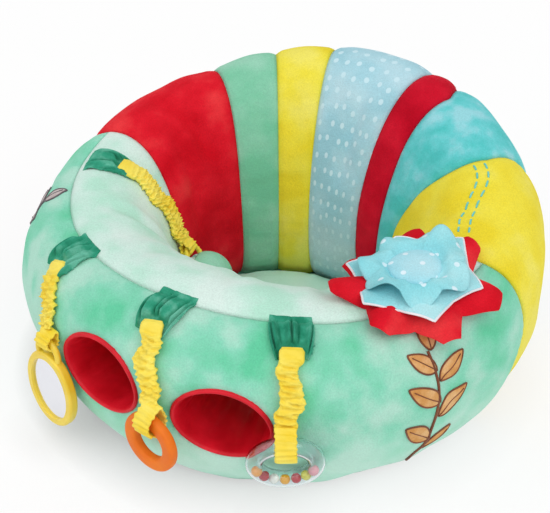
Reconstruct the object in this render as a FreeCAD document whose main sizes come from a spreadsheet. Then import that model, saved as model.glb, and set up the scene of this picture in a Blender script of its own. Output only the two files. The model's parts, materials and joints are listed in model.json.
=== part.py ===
# Baby activity seat: a plush cover over an inflatable ring, with two leg openings in front,
# toys on ruched straps and a layered fabric flower on the rim.
# Millimetres, +Z up, -Y to the front. The origin is on the floor, under the middle of the ring.
# Angles go round the ring from the front, and grow towards +X.
import FreeCAD, Part
import math
import os
from types import SimpleNamespace

from FreeCAD import Placement, Rotation, Vector

# Driving dimensions, one cell each: lengths in millimetres, angles in degrees
SIZES = {
    # Ring: its section is two half ellipses that meet at the waist. The floor flattens it below, and it
    # leans out at the sides and at the back, which is the highest
    "front_height": 207.0,
    "side_height": 218.0,
    "back_height": 284.5,
    "front_waist": 124.0,
    "side_waist": 111.0,
    "back_waist": 133.0,
    "front_half_width": 91.0,
    "side_half_width": 79.5,
    "back_half_width": 83.5,
    "front_centre_radius": 188.0,
    "side_centre_radius": 210.0,
    "back_centre_radius": 202.0,
    "side_lean": 28.0,
    "back_lean": 33.0,
    "floor_sink": 12.0,
    # Layers of the ring
    "plush_thickness": 4.0,
    "base_thickness": 6.0,
    "bladder_gap": 0.5,
    "bladder_wall": 0.6,
    "seam_gap": 0.3,
    "cut_overrun": 40.0,
    # Seat pad
    "pad_thickness": 22.0,
    # Leg openings: a sleeve from the cavity to the front, wider and higher in front
    "leg_front_y": 290.0,
    "left_leg_front_x": -61.0,
    "left_leg_front_level": 120.0,
    "right_leg_front_x": 92.0,
    "right_leg_front_level": 109.0,
    "leg_front_half_width": 53.0,
    "leg_front_half_height": 40.0,
    "leg_back_y": 55.0,
    "leg_back_x": 44.0,
    "leg_back_half_width": 33.0,
    "leg_back_half_height": 35.0,
    "leg_back_level": 95.0,
    "liner_thickness": 3.0,
    # Inflation valve, low on the back
    "valve_level": 60.0,
    "valve_radius": 13.0,
    "valve_length": 26.0,
    "valve_bore_radius": 9.0,
    "valve_floor": 3.0,
    "valve_air_radius": 2.0,
    "valve_port_radius": 15.5,
    "plug_length": 14.0,
    "plug_head_radius": 12.0,
    "plug_head_thickness": 2.5,
    "plug_clearance": 0.3,
    # Zip in the base panel, under the back of the ring
    "zip_length": 130.0,
    "zip_slot_width": 22.0,
    "chain_width": 5.0,
    "chain_height": 2.4,
    "chain_level": 1.8,
    "tape_thickness": 0.8,
    "tape_level": 3.0,
    "stop_length": 4.0,
    "stop_rim": 0.6,
    "slider_length": 13.0,
    "slider_rim": 1.8,
    "slider_plate": 0.9,
    "slider_clearance": 0.2,
    # Leaf tabs, sewn over the roots of the straps
    "leaf_length": 40.0,
    "leaf_width": 21.0,
    "leaf_angle": 27.0,
    "tab_thickness": 3.0,
    "tab_setback": 4.5,
    # Ruched straps and their loops
    "mirror_strap_angle": -35.0,
    "mirror_strap_drift": 5.5,
    "mirror_strap_run": 22.0,
    "teether_strap_angle": 0.0,
    "teether_strap_drift": 2.5,
    "teether_strap_run": 31.0,
    "rattle_strap_angle": 33.0,
    "rattle_strap_drift": -0.8,
    "rattle_strap_run": 31.0,
    "ball_strap_angle": -78.0,
    "ball_strap_run": 36.0,
    "strap_width": 30.0,
    "strap_thickness": 9.0,
    "strap_gap": 1.6,
    "ball_strap_gap": 3.0,
    "loop_band": 3.0,
    "loop_clearance": 0.4,
    # Toy mirror, which hangs turned towards the front
    "mirror_twist": 16.0,
    "mirror_width": 74.0,
    "mirror_height": 94.0,
    "mirror_band": 8.0,
    "mirror_depth": 11.0,
    "mirror_ledge": 3.0,
    "mirror_plate": 3.0,
    "mirror_backing": 2.0,
    "mirror_eye_radius": 16.0,
    "mirror_eye_bar": 3.5,
    # Teether and rattle rings. The rattle leans in under the belly of the ring
    "teether_twist": -12.0,
    "teether_radius": 26.0,
    "teether_bar": 7.5,
    "rattle_radius": 31.0,
    "rattle_bar": 9.0,
    "rattle_wall": 1.6,
    "rattle_tilt": 17.0,
    "bead_radius": 5.4,
    # Soft ball with a bell in it
    "ball_radius": 29.0,
    "ball_skin": 2.0,
    "ball_tilt": 33.0,
    "ball_eye_radius": 14.0,
    "ball_eye_bar": 2.8,
    "bell_radius": 9.0,
    "bell_wall": 1.2,
    "bell_slot": 2.0,
    # Flower on the rim
    "flower_angle": 68.5,
    "flower_red_radius": 90.0,
    "flower_blue_radius": 70.0,
    "flower_petal_radius": 53.0,
    "flower_centre_radius": 27.0,
    "flower_centre_height": 11.0,
    "flower_layer": 4.0,
    "flower_spread": 45.0,
}

doc = FreeCAD.newDocument("baby_activity_seat")
sheet = doc.addObject("Spreadsheet::Sheet", "sizes")
for row, (alias, value) in enumerate(SIZES.items(), start=1):
    sheet.set(f"A{row}", alias)
    sheet.set(f"B{row}", str(value))
    sheet.setAlias(f"B{row}", alias)
doc.recompute()
s = SimpleNamespace(**{alias: float(sheet.get(alias)) for alias in SIZES})

# Shares and counts
SECTION_ARCS = 8
OUTLINE_ARCS = 16
LOFT_STEP = 15.0
SPAN_MARGIN = 1.0
# Seat pad: share of its thickness, share of the way to the wall
PAD_SHARES = [(0.0, 0.97), (0.35, 1.0), (0.7, 0.98), (0.92, 0.84), (1.0, 0.5)]
# A gather of a strap: narrow, wide, wide, narrow
GATHER_THICKNESS_SHARES = [0.72, 1.0, 1.0, 0.72]
GATHER_WIDTH_SHARES = [0.9, 1.0, 1.0, 0.9]
GATHERS = 10
STRAP_ARC_SHARE = 0.72
STRAP_CORNER_SHARE = 0.8
# Half the width of a loop, as a share of the radius of the ring that hangs in it
LOOP_HALF_SHARE = 0.4
STAR_VALLEY_SHARE = 0.74
STAR_POINTS = 8
PETALS = 7
BEADS = 7
BEAD_PITCH_SHARE = 1.08

parts = []
ORIGIN = Vector(0, 0, 0)
UP = Vector(0, 0, 1)


def add_part(label, shape):
    """Adds a finished shape to the document as one sub-part."""
    part = doc.addObject("Part::Feature", label)
    part.Label = label
    part.Shape = shape
    part.Placement = Placement()
    parts.append(part)
    return part


def add_primitive(kind, name, **cells):
    """Adds a Part primitive whose properties follow cells of the sheet."""
    primitive = doc.addObject("Part::" + kind, name)
    for name_of_property, expression in cells.items():
        primitive.setExpression(name_of_property, expression)
    return primitive


def combine(kind, name, base, tool):
    """Adds a boolean of two objects: Cut, Fuse or Common."""
    result = doc.addObject("Part::" + kind, name)
    result.Base = base
    result.Tool = tool
    return result


def keep_part(part, label, place=None):
    """Takes an object of the document as a finished sub-part, at its place."""
    part.Label = label
    if place is not None:
        part.Placement = place
    parts.append(part)
    return part


# Shape of the ring
def around(front, side, back, angle):
    """Passes smoothly from the front value over the side value to the back value."""
    turn = math.radians(angle)
    mean = (front + back) / 4 + side / 2
    swing = (front + back) / 4 - side / 2
    return mean - (back - front) / 2 * math.cos(turn) + swing * math.cos(2 * turn)


def outward(angle):
    turn = math.radians(angle)
    return Vector(math.sin(turn), -math.cos(turn), 0)


def along(angle):
    turn = math.radians(angle)
    return Vector(math.cos(turn), math.sin(turn), 0)


def ring_height(angle):
    return around(s.front_height, s.side_height, s.back_height, angle)


def ring_waist(angle):
    return around(s.front_waist, s.side_waist, s.back_waist, angle)


def ring_radius(angle):
    return around(s.front_centre_radius, s.side_centre_radius, s.back_centre_radius, angle)


def ring_half_width(angle):
    return around(s.front_half_width, s.side_half_width, s.back_half_width, angle)


def wall_point(angle, turn, grow=0, spread=0):
    """A point of the ring's section: turn 0 is the outer waist, 90 the crest, 180 the inner waist."""
    height = ring_height(angle)
    waist = ring_waist(angle)
    rise = height - waist if math.sin(math.radians(turn)) >= 0 else waist + s.floor_sink
    level = waist + (rise + grow) * math.sin(math.radians(turn))
    lean = around(0, s.side_lean, s.back_lean, angle) * (level / height - 0.5)
    reach = (ring_half_width(angle) + grow + spread) * math.cos(math.radians(turn))
    return outward(angle) * (ring_radius(angle) + reach + lean) + UP * level


def wall_turn(angle, level, inner=False):
    """The turn at which the lower half of the section passes a level."""
    waist = ring_waist(angle)
    turn = math.degrees(math.asin((level - waist) / (waist + s.floor_sink)))
    return 180 - turn if inner else turn


def closed_wire(point_at, arcs):
    """A closed wire of arcs through points of a round outline; point_at takes a share of the way round."""
    edges = []
    for index in range(arcs):
        start = point_at(index / arcs)
        middle = point_at((index + 0.5) / arcs)
        end = point_at((index + 1) % arcs / arcs)
        edges.append(Part.Arc(start, middle, end).toShape())
    return Part.Wire(edges)


def ring_section(angle, grow, spread):
    half_arc = 180 / SECTION_ARCS
    return closed_wire(lambda share: wall_point(angle, 360 * share - half_arc, grow, spread), SECTION_ARCS)


def ring_span(start, stop, grow=0, spread=0):
    """The solid of the ring between two angles, grown by a distance."""
    steps = max(3, math.ceil((stop - start) / LOFT_STEP))
    angles = [start + (stop - start) * step / steps for step in range(steps + 1)]
    return Part.makeLoft([ring_section(angle, grow, spread) for angle in angles], True, False)


def whole_ring(grow=0):
    """The solid of the whole ring, as two halves that meet at the sides."""
    front = ring_span(-90, 90, grow)
    back = ring_span(90, 270, grow)
    return front.fuse(back)


def below(level):
    """A block that takes away everything under a level."""
    reach = s.side_centre_radius + s.side_half_width + s.cut_overrun
    depth = level + s.floor_sink + s.cut_overrun
    return Part.makeBox(2 * reach, 2 * reach, depth, Vector(-reach, -reach, level - depth))


def shell_span(start, stop):
    """A plush panel: the skin of the ring between two seams, down to the base panel."""
    inner = ring_span(start - SPAN_MARGIN, stop + SPAN_MARGIN, -s.plush_thickness)
    return ring_span(start, stop).cut([inner, below(s.base_thickness)])


# Base panel: closes the cover below, with a slot for the zip under the back of the ring
def foot_point(share):
    angle = 360 * share
    foot = wall_point(angle, wall_turn(angle, s.base_thickness))
    return Vector(foot.x, foot.y, 0)


zip_y = wall_point(180, 270).y
slot = Part.makeBox(
    s.zip_length, s.zip_slot_width, s.base_thickness + 2 * s.cut_overrun,
    Vector(-s.zip_length / 2, zip_y - s.zip_slot_width / 2, -s.cut_overrun),
)
base_face = Part.Face(closed_wire(foot_point, OUTLINE_ARCS))
add_part("base_panel", base_face.extrude(UP * s.base_thickness).cut(slot))


# Seat pad: a crowned cushion on the base panel, as wide as the cavity
def pad_section(height_share, reach_share):
    level = s.base_thickness + height_share * s.pad_thickness

    def pad_point(share):
        angle = 360 * share
        wall = wall_point(angle, wall_turn(angle, level, inner=True))
        side = wall - outward(angle) * s.seam_gap
        return Vector(side.x * reach_share, side.y * reach_share, level)

    return closed_wire(pad_point, OUTLINE_ARCS)


pad_wires = [pad_section(*shares) for shares in PAD_SHARES]
add_part("seat_pad", Part.makeLoft(pad_wires, True, False).cut(whole_ring(s.seam_gap)))


# Leg openings: tapered sleeves, left and right
def leg_sleeve(front_x, front_level, back_x, grow):
    """The solid of a leg opening, grown by a distance, from the cavity to in front of the ring."""
    def station(x, y, level, half_width, half_height):
        def rim(share):
            turn = 2 * math.pi * share
            across = (half_width + grow) * math.cos(turn)
            up = (half_height + grow) * math.sin(turn)
            return Vector(x + across, -y, level + up)
        return closed_wire(rim, SECTION_ARCS)

    back = station(back_x, s.leg_back_y, s.leg_back_level, s.leg_back_half_width, s.leg_back_half_height)
    front = station(front_x, s.leg_front_y, front_level, s.leg_front_half_width, s.leg_front_half_height)
    return Part.makeLoft([back, front], True, True)


LEGS = {
    "left": (s.left_leg_front_x, s.left_leg_front_level, -s.leg_back_x),
    "right": (s.right_leg_front_x, s.right_leg_front_level, s.leg_back_x),
}
for name, leg in LEGS.items():
    sleeve = leg_sleeve(*leg, s.liner_thickness).common(ring_span(-75, 75))
    add_part(name + "_leg_liner", sleeve.cut(leg_sleeve(*leg, 0)))


# Plush panels, from seam to seam. In front a seam along the shoulder joins the outer wall to the rim
SHOULDER_TURN = 73.0
PANEL_SEAMS = {
    "front_panel": (-92.1, 90.6),
    "yellow_panel": (90.6, 125.6),
    "turquoise_panel": (125.6, 149.9),
    "red_strip_panel": (149.9, 163.2),
    "dotted_panel": (163.2, 195.0),
    "yellow_back_panel": (195.0, 212.2),
    "green_panel": (212.2, 229.6),
    "red_panel": (229.6, 267.9),
}
valve_rim = wall_point(180, wall_turn(180, s.valve_level - s.valve_radius)).y - s.plug_head_thickness - s.seam_gap
valve_place = Placement(Vector(0, valve_rim, s.valve_level), Rotation(UP, Vector(0, 1, 0)))
leg_cuts = [leg_sleeve(*leg, s.liner_thickness + s.seam_gap) for leg in LEGS.values()]
valve_port = Part.makeCylinder(
    s.valve_port_radius, s.valve_length + s.cut_overrun,
    Vector(0, valve_rim - s.valve_length, s.valve_level), Vector(0, 1, 0),
)
PANEL_CUTS = {"front_panel": leg_cuts, "dotted_panel": [valve_port]}


def rim_side(start, stop):
    """The space on the cavity's side of the shoulder seam, between two angles."""
    def section(angle):
        middle = outward(angle) * ring_radius(angle)
        far = outward(angle) * (ring_radius(angle) - ring_half_width(angle) - s.cut_overrun)
        foot = UP * -s.cut_overrun
        top = UP * (ring_height(angle) + s.cut_overrun)
        waist = UP * ring_waist(angle)
        seam = wall_point(angle, SHOULDER_TURN, s.cut_overrun)
        return Part.makePolygon([middle + waist, seam, far + top, far + foot, middle + foot, middle + waist])

    steps = math.ceil((stop - start) / LOFT_STEP)
    angles = [start + (stop - start) * step / steps for step in range(steps + 1)]
    return Part.makeLoft([section(angle) for angle in angles], True, True)


for name, (start, stop) in PANEL_SEAMS.items():
    panel = shell_span(start, stop)
    if name in PANEL_CUTS:
        panel = panel.cut(PANEL_CUTS[name])
    if name == "front_panel":
        cavity_side = rim_side(start - SPAN_MARGIN, stop + SPAN_MARGIN)
        add_part("rim_panel", panel.common(cavity_side))
        panel = panel.cut(cavity_side)
    add_part(name, panel)


# Inflatable ring: a hollow bladder that fills the cover, with the leg openings and the valve through it
bladder_skin = -s.plush_thickness - s.bladder_gap
bladder_foot = s.base_thickness + s.bladder_gap
leg_walls = [leg_sleeve(*leg, s.liner_thickness + s.bladder_gap) for leg in LEGS.values()]
leg_rooms = [
    leg_sleeve(*leg, s.liner_thickness + s.bladder_gap + s.bladder_wall) for leg in LEGS.values()
]
valve_hole = Part.makeCylinder(
    s.valve_radius + s.seam_gap, s.valve_length + s.cut_overrun,
    Vector(0, valve_rim - s.valve_length - s.seam_gap, s.valve_level), Vector(0, 1, 0),
)
bladder = whole_ring(bladder_skin).cut([below(bladder_foot)] + leg_walls)
air = whole_ring(bladder_skin - s.bladder_wall).cut([below(bladder_foot + s.bladder_wall)] + leg_rooms)
add_part("inflatable_ring", bladder.cut([air, valve_hole]))

# Valve body: a cup with an air hole in its floor; its mouth is at the local origin, +Z out of the seat
cup = add_primitive("Cylinder", "valve_cup", Radius="sizes.valve_radius", Height="sizes.valve_length")
cup.Placement = Placement(Vector(0, 0, -s.valve_length), Rotation())
bore = add_primitive("Cylinder", "valve_bore", Radius="sizes.valve_bore_radius", Height="sizes.valve_length")
bore.Placement = Placement(Vector(0, 0, s.valve_floor - s.valve_length), Rotation())
air_hole = add_primitive("Cylinder", "valve_air", Radius="sizes.valve_air_radius", Height="sizes.valve_length")
air_hole.Placement = Placement(Vector(0, 0, -s.valve_length - s.valve_floor), Rotation())
bored_cup = combine("Cut", "valve_bored_cup", cup, bore)
keep_part(combine("Cut", "valve_body", bored_cup, air_hole), "valve_body", valve_place)

# Valve plug: a stem in the bore and a head on the mouth
stem = add_primitive(
    "Cylinder", "plug_stem", Radius="sizes.valve_bore_radius - sizes.plug_clearance", Height="sizes.plug_length"
)
stem.Placement = Placement(Vector(0, 0, -s.plug_length), Rotation())
head = add_primitive(
    "Cylinder", "plug_head", Radius="sizes.plug_head_radius", Height="sizes.plug_head_thickness"
)
keep_part(combine("Fuse", "valve_plug", stem, head), "valve_plug", valve_place)

# Zip: two tapes and a chain across the slot, a stop at each end, and a slider under the chain
zip_place = Placement(Vector(-s.zip_length / 2, zip_y, 0), Rotation())
tape_width = "(sizes.zip_slot_width - sizes.chain_width) / 2"
near_tape = add_primitive(
    "Box", "zip_near_tape", Length="sizes.zip_length", Width=tape_width, Height="sizes.tape_thickness"
)
near_tape.Placement = Placement(Vector(0, -s.zip_slot_width / 2, s.tape_level), Rotation())
far_tape = add_primitive(
    "Box", "zip_far_tape", Length="sizes.zip_length", Width=tape_width, Height="sizes.tape_thickness"
)
far_tape.Placement = Placement(Vector(0, s.chain_width / 2, s.tape_level), Rotation())
keep_part(combine("Fuse", "zip_tapes", near_tape, far_tape), "zip_tapes", zip_place)

chain = add_primitive(
    "Box", "zip_chain", Length="sizes.zip_length - 2 * sizes.stop_length", Width="sizes.chain_width",
    Height="sizes.chain_height",
)
chain_place = Vector(s.stop_length, -s.chain_width / 2, s.chain_level)
keep_part(chain, "zip_chain", zip_place.multiply(Placement(chain_place, Rotation())))

stop_cells = {
    "Length": "sizes.stop_length", "Width": "sizes.chain_width", "Height": "sizes.chain_height + sizes.stop_rim"
}
first_stop = add_primitive("Box", "zip_first_stop", **stop_cells)
first_stop.Placement = Placement(Vector(0, -s.chain_width / 2, s.chain_level - s.stop_rim), Rotation())
last_stop = add_primitive("Box", "zip_last_stop", **stop_cells)
last_x = s.zip_length - s.stop_length
last_stop.Placement = Placement(Vector(last_x, -s.chain_width / 2, s.chain_level - s.stop_rim), Rotation())
keep_part(combine("Fuse", "zip_end_stops", first_stop, last_stop), "zip_end_stops", zip_place)

slider_block = add_primitive(
    "Box", "slider_block", Length="sizes.slider_length",
    Width="sizes.chain_width + 2 * (sizes.slider_rim + sizes.slider_clearance)",
    Height="sizes.tape_level - sizes.chain_level + sizes.slider_plate",
)
slider_half = s.chain_width / 2 + s.slider_rim + s.slider_clearance
slider_foot = s.chain_level - s.slider_clearance - s.slider_plate
slider_block.Placement = Placement(Vector(0, -slider_half, slider_foot), Rotation())
slider_channel = add_primitive(
    "Box", "slider_channel", Length="sizes.slider_length",
    Width="sizes.chain_width + 2 * sizes.slider_clearance", Height="sizes.chain_height",
)
channel_half = s.chain_width / 2 + s.slider_clearance
slider_channel.Placement = Placement(Vector(0, -channel_half, s.chain_level - s.slider_clearance), Rotation())
slider_x = Vector(s.stop_length + s.slider_clearance, 0, 0)
slider = combine("Cut", "zip_slider", slider_block, slider_channel)
keep_part(slider, "zip_slider", zip_place.multiply(Placement(slider_x, Rotation())))


# Leaf tabs: two leaves of folded plush, laid on the rim above the root of each strap
def leaf_prism(angle, turn, uphill, lean):
    """A leaf outline, drawn on the wall's tangent plane and pushed through it."""
    root = wall_point(angle, turn)
    across = along(angle)
    ahead = (wall_point(angle, turn + uphill) - root).normalize()
    normal = across.cross(ahead).normalize()
    swing = math.radians(lean)
    stem_way = ahead * math.cos(swing) + across * math.sin(swing)
    side_way = across * math.cos(swing) - ahead * math.sin(swing)
    start = root + ahead * s.tab_setback
    tip = start + stem_way * s.leaf_length
    middle = start + stem_way * (s.leaf_length / 2)
    left = Part.Arc(start, middle - side_way * (s.leaf_width / 2), tip).toShape()
    right = Part.Arc(tip, middle + side_way * (s.leaf_width / 2), start).toShape()
    depth = normal * s.cut_overrun
    outline = Part.Face(Part.Wire([left, right]))
    outline.translate(depth * -1)
    return outline.extrude(depth * 2)


def leaf_tab(angle, turn, uphill):
    leaves = leaf_prism(angle, turn, uphill, s.leaf_angle).fuse(leaf_prism(angle, turn, uphill, -s.leaf_angle))
    span = 2 * LOFT_STEP
    skin = ring_span(angle - span, angle + span, s.seam_gap + s.tab_thickness)
    return leaves.common(skin.cut(ring_span(angle - span - SPAN_MARGIN, angle + span + SPAN_MARGIN, s.seam_gap)))


# Ruched straps: each lies over the shoulder of the ring, drifting sideways, then runs straight to its loop
def strap_stations(angle, drift, root_turn, leave_turn, gap, run):
    """Points along the middle of a strap, each with the ways along and across it."""
    lift = gap + s.strap_thickness / 2
    count = len(GATHER_THICKNESS_SHARES) * GATHERS

    def lying(share):
        return wall_point(angle + drift * share, root_turn + (leave_turn - root_turn) * share, lift)

    stations = []
    for index in range(count):
        share = index / (count - 1)
        arc_share = min(share / STRAP_ARC_SHARE, 1)
        point = lying(arc_share)
        way = (lying(arc_share + 1 / count) - point).normalize()
        run_share = max(share - STRAP_ARC_SHARE, 0) / (1 - STRAP_ARC_SHARE)
        stations.append((point + way * (run * run_share), way, along(angle + drift * arc_share)))
    return stations


def strap_section(point, way, across, width, thickness):
    normal = way.cross(across).normalize()
    half = normal.cross(way) * (width / 2)
    rise = normal * (thickness / 2)
    far = half * STRAP_CORNER_SHARE
    high = rise * STRAP_CORNER_SHARE
    corners = [point + far + high, point - far + high, point - far - high, point + far - high]
    middles = [point + rise, point - half, point - rise, point + half]
    edges = [
        Part.Arc(corners[index], middles[index], corners[(index + 1) % 4]).toShape() for index in range(4)
    ]
    return Part.Wire(edges)


def ruched_strap(stations):
    wires = []
    for index, station in enumerate(stations):
        gather = index % len(GATHER_THICKNESS_SHARES)
        width = s.strap_width * GATHER_WIDTH_SHARES[gather]
        thickness = s.strap_thickness * GATHER_THICKNESS_SHARES[gather]
        wires.append(strap_section(*station, width, thickness))
    return Part.makeLoft(wires, True, True)


# Each strap: its angle and sideways drift, the turns where it starts and leaves the ring, its gap to the
# ring and its straight run; then the twist of its loop, and the radius and the bar of what hangs in it
ROOT_TURN = 53.0
STRAPS = {
    "mirror": (
        (s.mirror_strap_angle, s.mirror_strap_drift, ROOT_TURN, 24.0, s.strap_gap, s.mirror_strap_run),
        (s.mirror_twist, s.mirror_eye_radius, s.mirror_eye_bar),
    ),
    "teether": (
        (s.teether_strap_angle, s.teether_strap_drift, ROOT_TURN, 21.0, s.strap_gap, s.teether_strap_run),
        (s.teether_twist, s.teether_radius, s.teether_bar),
    ),
    "rattle": (
        (s.rattle_strap_angle, s.rattle_strap_drift, ROOT_TURN, 22.0, s.strap_gap, s.rattle_strap_run),
        (0, s.rattle_radius, s.rattle_bar),
    ),
    "ball": (
        (s.ball_strap_angle, 0, 108.0, 155.0, s.ball_strap_gap, s.ball_strap_run),
        (0, s.ball_eye_radius, s.ball_eye_bar),
    ),
}
roots = {}
hangers = {}
for name, (lie, (twist, bar_radius, bar)) in STRAPS.items():
    root_angle, drift, root_turn, leave_turn, *_ = lie
    angle = root_angle + drift
    uphill = math.copysign(1, root_turn - leave_turn)
    add_part(name + "_tab", leaf_tab(root_angle, root_turn, uphill))
    stations = strap_stations(*lie)
    add_part(name + "_strap", ruched_strap(stations))
    end, way, _ = stations[-1]
    loop_width = 2 * LOOP_HALF_SHARE * bar_radius
    bar_depth = bar_radius - math.sqrt((bar_radius - bar) ** 2 - (loop_width / 2) ** 2)
    inner_radius = bar_depth + s.loop_clearance
    loop_way = along(angle + twist)
    twist_room = abs(loop_way.dot(way)) * loop_width / 2
    centre = end + way * (s.seam_gap + twist_room + s.loop_band + inner_radius)
    roots[name] = (root_angle, stations[0][0])
    hangers[name] = (angle + twist, centre)
    loop_place = Placement(centre - loop_way * (loop_width / 2), Rotation(UP, loop_way))
    outside = add_primitive("Cylinder", name + "_loop_outside")
    inside = add_primitive("Cylinder", name + "_loop_inside")
    for cylinder, radius in ((outside, inner_radius + s.loop_band), (inside, inner_radius)):
        cylinder.Radius = radius
        cylinder.Height = loop_width
    keep_part(combine("Cut", name + "_loop", outside, inside), name + "_loop", loop_place)


# Toy mirror: an oval frame with an eye on top, a mirror plate in front and a backing behind it
def hanging_place(name):
    """Frame of a toy: X along the ring, Z up, Y towards the ring, with the bar in the loop as its origin."""
    angle, centre = hangers[name]
    return Placement(centre, Rotation(UP, angle))


def oval(half_width, half_height, level, depth, front):
    def rim(share):
        turn = 2 * math.pi * share
        return Vector(half_width * math.cos(turn), front, level + half_height * math.sin(turn))
    return Part.Face(closed_wire(rim, SECTION_ARCS)).extrude(Vector(0, depth, 0))


mirror_level = -s.mirror_eye_radius - s.mirror_height / 2
half_width = s.mirror_width / 2
half_height = s.mirror_height / 2
front = -s.mirror_depth / 2
inset = s.mirror_band - s.mirror_ledge
frame_body = oval(half_width, half_height, mirror_level, s.mirror_depth, front)
window = oval(
    half_width - s.mirror_band, half_height - s.mirror_band, mirror_level, s.mirror_depth + 2 * s.cut_overrun,
    front - s.cut_overrun,
)
plate_back = front + s.mirror_ledge + s.mirror_plate
recess = oval(
    half_width - inset, half_height - inset, mirror_level, s.mirror_depth + s.cut_overrun, front + s.mirror_ledge
)
eye = Part.makeTorus(
    s.mirror_eye_radius, s.mirror_eye_bar, Vector(0, 0, -s.mirror_eye_radius), Vector(0, 1, 0)
)
frame_outline = frame_body.makeFillet(s.mirror_ledge, frame_body.Edges).fuse(eye)
mirror_frame = add_part("mirror_frame", frame_outline.cut([window, recess]))
mirror_frame.Placement = hanging_place("mirror")

plate_grow = inset + s.seam_gap
mirror_plate = add_part(
    "mirror_plate",
    oval(half_width - plate_grow, half_height - plate_grow, mirror_level, s.mirror_plate, front + s.mirror_ledge),
)
mirror_plate.Placement = hanging_place("mirror")
mirror_backing = add_part(
    "mirror_backing",
    oval(half_width - plate_grow, half_height - plate_grow, mirror_level, s.mirror_backing, plate_back),
)
mirror_backing.Placement = hanging_place("mirror")


# Teether: a smooth ring
def ring_place(name, radius, tilt=0):
    """Place of a ring that hangs in a loop and leans in at its foot."""
    angle, centre = hangers[name]
    up = Rotation(along(angle), tilt).multVec(UP)
    return Placement(centre - up * radius, Rotation(UP, along(angle).cross(up)))


teether = add_primitive("Torus", "teether", Radius1="sizes.teether_radius", Radius2="sizes.teether_bar")
keep_part(teether, "teether_ring", ring_place("teether", s.teether_radius))

# Rattle: a clear hollow ring, with beads that lie at the bottom of its tube
tube = add_primitive("Torus", "rattle_tube", Radius1="sizes.rattle_radius", Radius2="sizes.rattle_bar")
hollow = add_primitive(
    "Torus", "rattle_hollow", Radius1="sizes.rattle_radius", Radius2="sizes.rattle_bar - sizes.rattle_wall"
)
rattle_place = ring_place("rattle", s.rattle_radius, s.rattle_tilt)
keep_part(combine("Cut", "rattle_ring", tube, hollow), "rattle_ring", rattle_place)

bead_path = s.rattle_radius + s.rattle_bar - s.rattle_wall - s.bead_radius - s.seam_gap
bead_pitch = 2 * math.asin(BEAD_PITCH_SHARE * s.bead_radius / bead_path)
rattle_across = along(hangers["rattle"][0])
rattle_up = rattle_place.Rotation.multVec(UP).cross(rattle_across)
beads = []
for index in range(BEADS):
    turn = (index - (BEADS - 1) / 2) * bead_pitch
    ray = rattle_across * math.sin(turn) - rattle_up * math.cos(turn)
    beads.append(Part.makeSphere(s.bead_radius, rattle_place.Base + ray * bead_path))
add_part("rattle_beads", Part.makeCompound(beads))

# Soft ball: two half covers, stuffing with a pocket, a bell in the pocket, and a loop of tape on top
# The ball leans on the inner wall, so it hangs tilted away from it
ball_turn = Rotation(UP, s.ball_strap_angle).multiply(Rotation(Vector(1, 0, 0), s.ball_tilt))
ball_drop = ball_turn.multVec(UP * (s.ball_eye_radius + s.ball_radius))
ball_place = Placement(hangers["ball"][1] - ball_drop, ball_turn)
for half, low, label in (("green", "0", "ball_green_half"), ("dotted", "180", "ball_dotted_half")):
    outer = add_primitive("Sphere", half + "_outer", Radius="sizes.ball_radius", Angle3="180")
    inner = add_primitive("Sphere", half + "_inner", Radius="sizes.ball_radius - sizes.ball_skin")
    outer.Placement = Placement(ORIGIN, Rotation(UP, float(low)))
    keep_part(combine("Cut", label, outer, inner), label, ball_place)

stuffing = add_primitive(
    "Sphere", "stuffing", Radius="sizes.ball_radius - sizes.ball_skin - sizes.seam_gap"
)
pocket = add_primitive("Sphere", "pocket", Radius="sizes.bell_radius + sizes.seam_gap")
keep_part(combine("Cut", "ball_stuffing", stuffing, pocket), "ball_stuffing", ball_place)

bell_outside = add_primitive("Sphere", "bell_outside", Radius="sizes.bell_radius")
bell_inside = add_primitive("Sphere", "bell_inside", Radius="sizes.bell_radius - sizes.bell_wall")
bell_shell = combine("Cut", "bell_shell", bell_outside, bell_inside)
bell_slot = add_primitive(
    "Box", "bell_slot", Length="2 * sizes.bell_radius", Width="sizes.bell_slot", Height="sizes.bell_radius"
)
bell_slot.Placement = Placement(Vector(-s.bell_radius, -s.bell_slot / 2, -s.bell_radius), Rotation())
keep_part(combine("Cut", "ball_bell", bell_shell, bell_slot), "ball_bell", ball_place)

eye_loop = add_primitive("Torus", "ball_eye", Radius1="sizes.ball_eye_radius", Radius2="sizes.ball_eye_bar")
eye_loop.Placement = Placement(UP * s.ball_radius, Rotation(UP, Vector(0, 1, 0)))
ball_room = add_primitive("Sphere", "ball_room", Radius="sizes.ball_radius + sizes.seam_gap")
keep_part(combine("Cut", "ball_loop_tape", eye_loop, ball_room), "ball_loop_tape", ball_place)


# Flower: layers of stiff cloth that droop over the rim, larger below, and a stuffed centre
def petal_prism(radius, points, wavy):
    """An outline round the flower's middle, pushed straight up through the rim."""
    crest = wall_point(s.flower_angle, 90)
    hub = Vector(crest.x, crest.y, 0)

    def edge_point(position, reach):
        turn = 2 * math.pi * position / points
        return hub + outward(s.flower_angle) * (reach * math.cos(turn)) + along(s.flower_angle) * (
            reach * math.sin(turn)
        )

    edges = []
    for point in range(points):
        valley = edge_point(point, radius * STAR_VALLEY_SHARE)
        tip = edge_point(point + 0.5, radius)
        next_valley = edge_point(point + 1, radius * STAR_VALLEY_SHARE)
        if wavy:
            edges.append(Part.Arc(valley, tip, next_valley).toShape())
        else:
            edges.append(Part.LineSegment(valley, tip).toShape())
            edges.append(Part.LineSegment(tip, next_valley).toShape())
    return Part.Face(Part.Wire(edges)).extrude(UP * (s.back_height + s.cut_overrun))


def drape(grow, margin=0):
    """The space under a layer: the ring's span below the flower, broadened so that the layer droops less."""
    reach = 3 * LOFT_STEP + margin
    return ring_span(s.flower_angle - reach, s.flower_angle + reach, grow, s.flower_spread)


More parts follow.
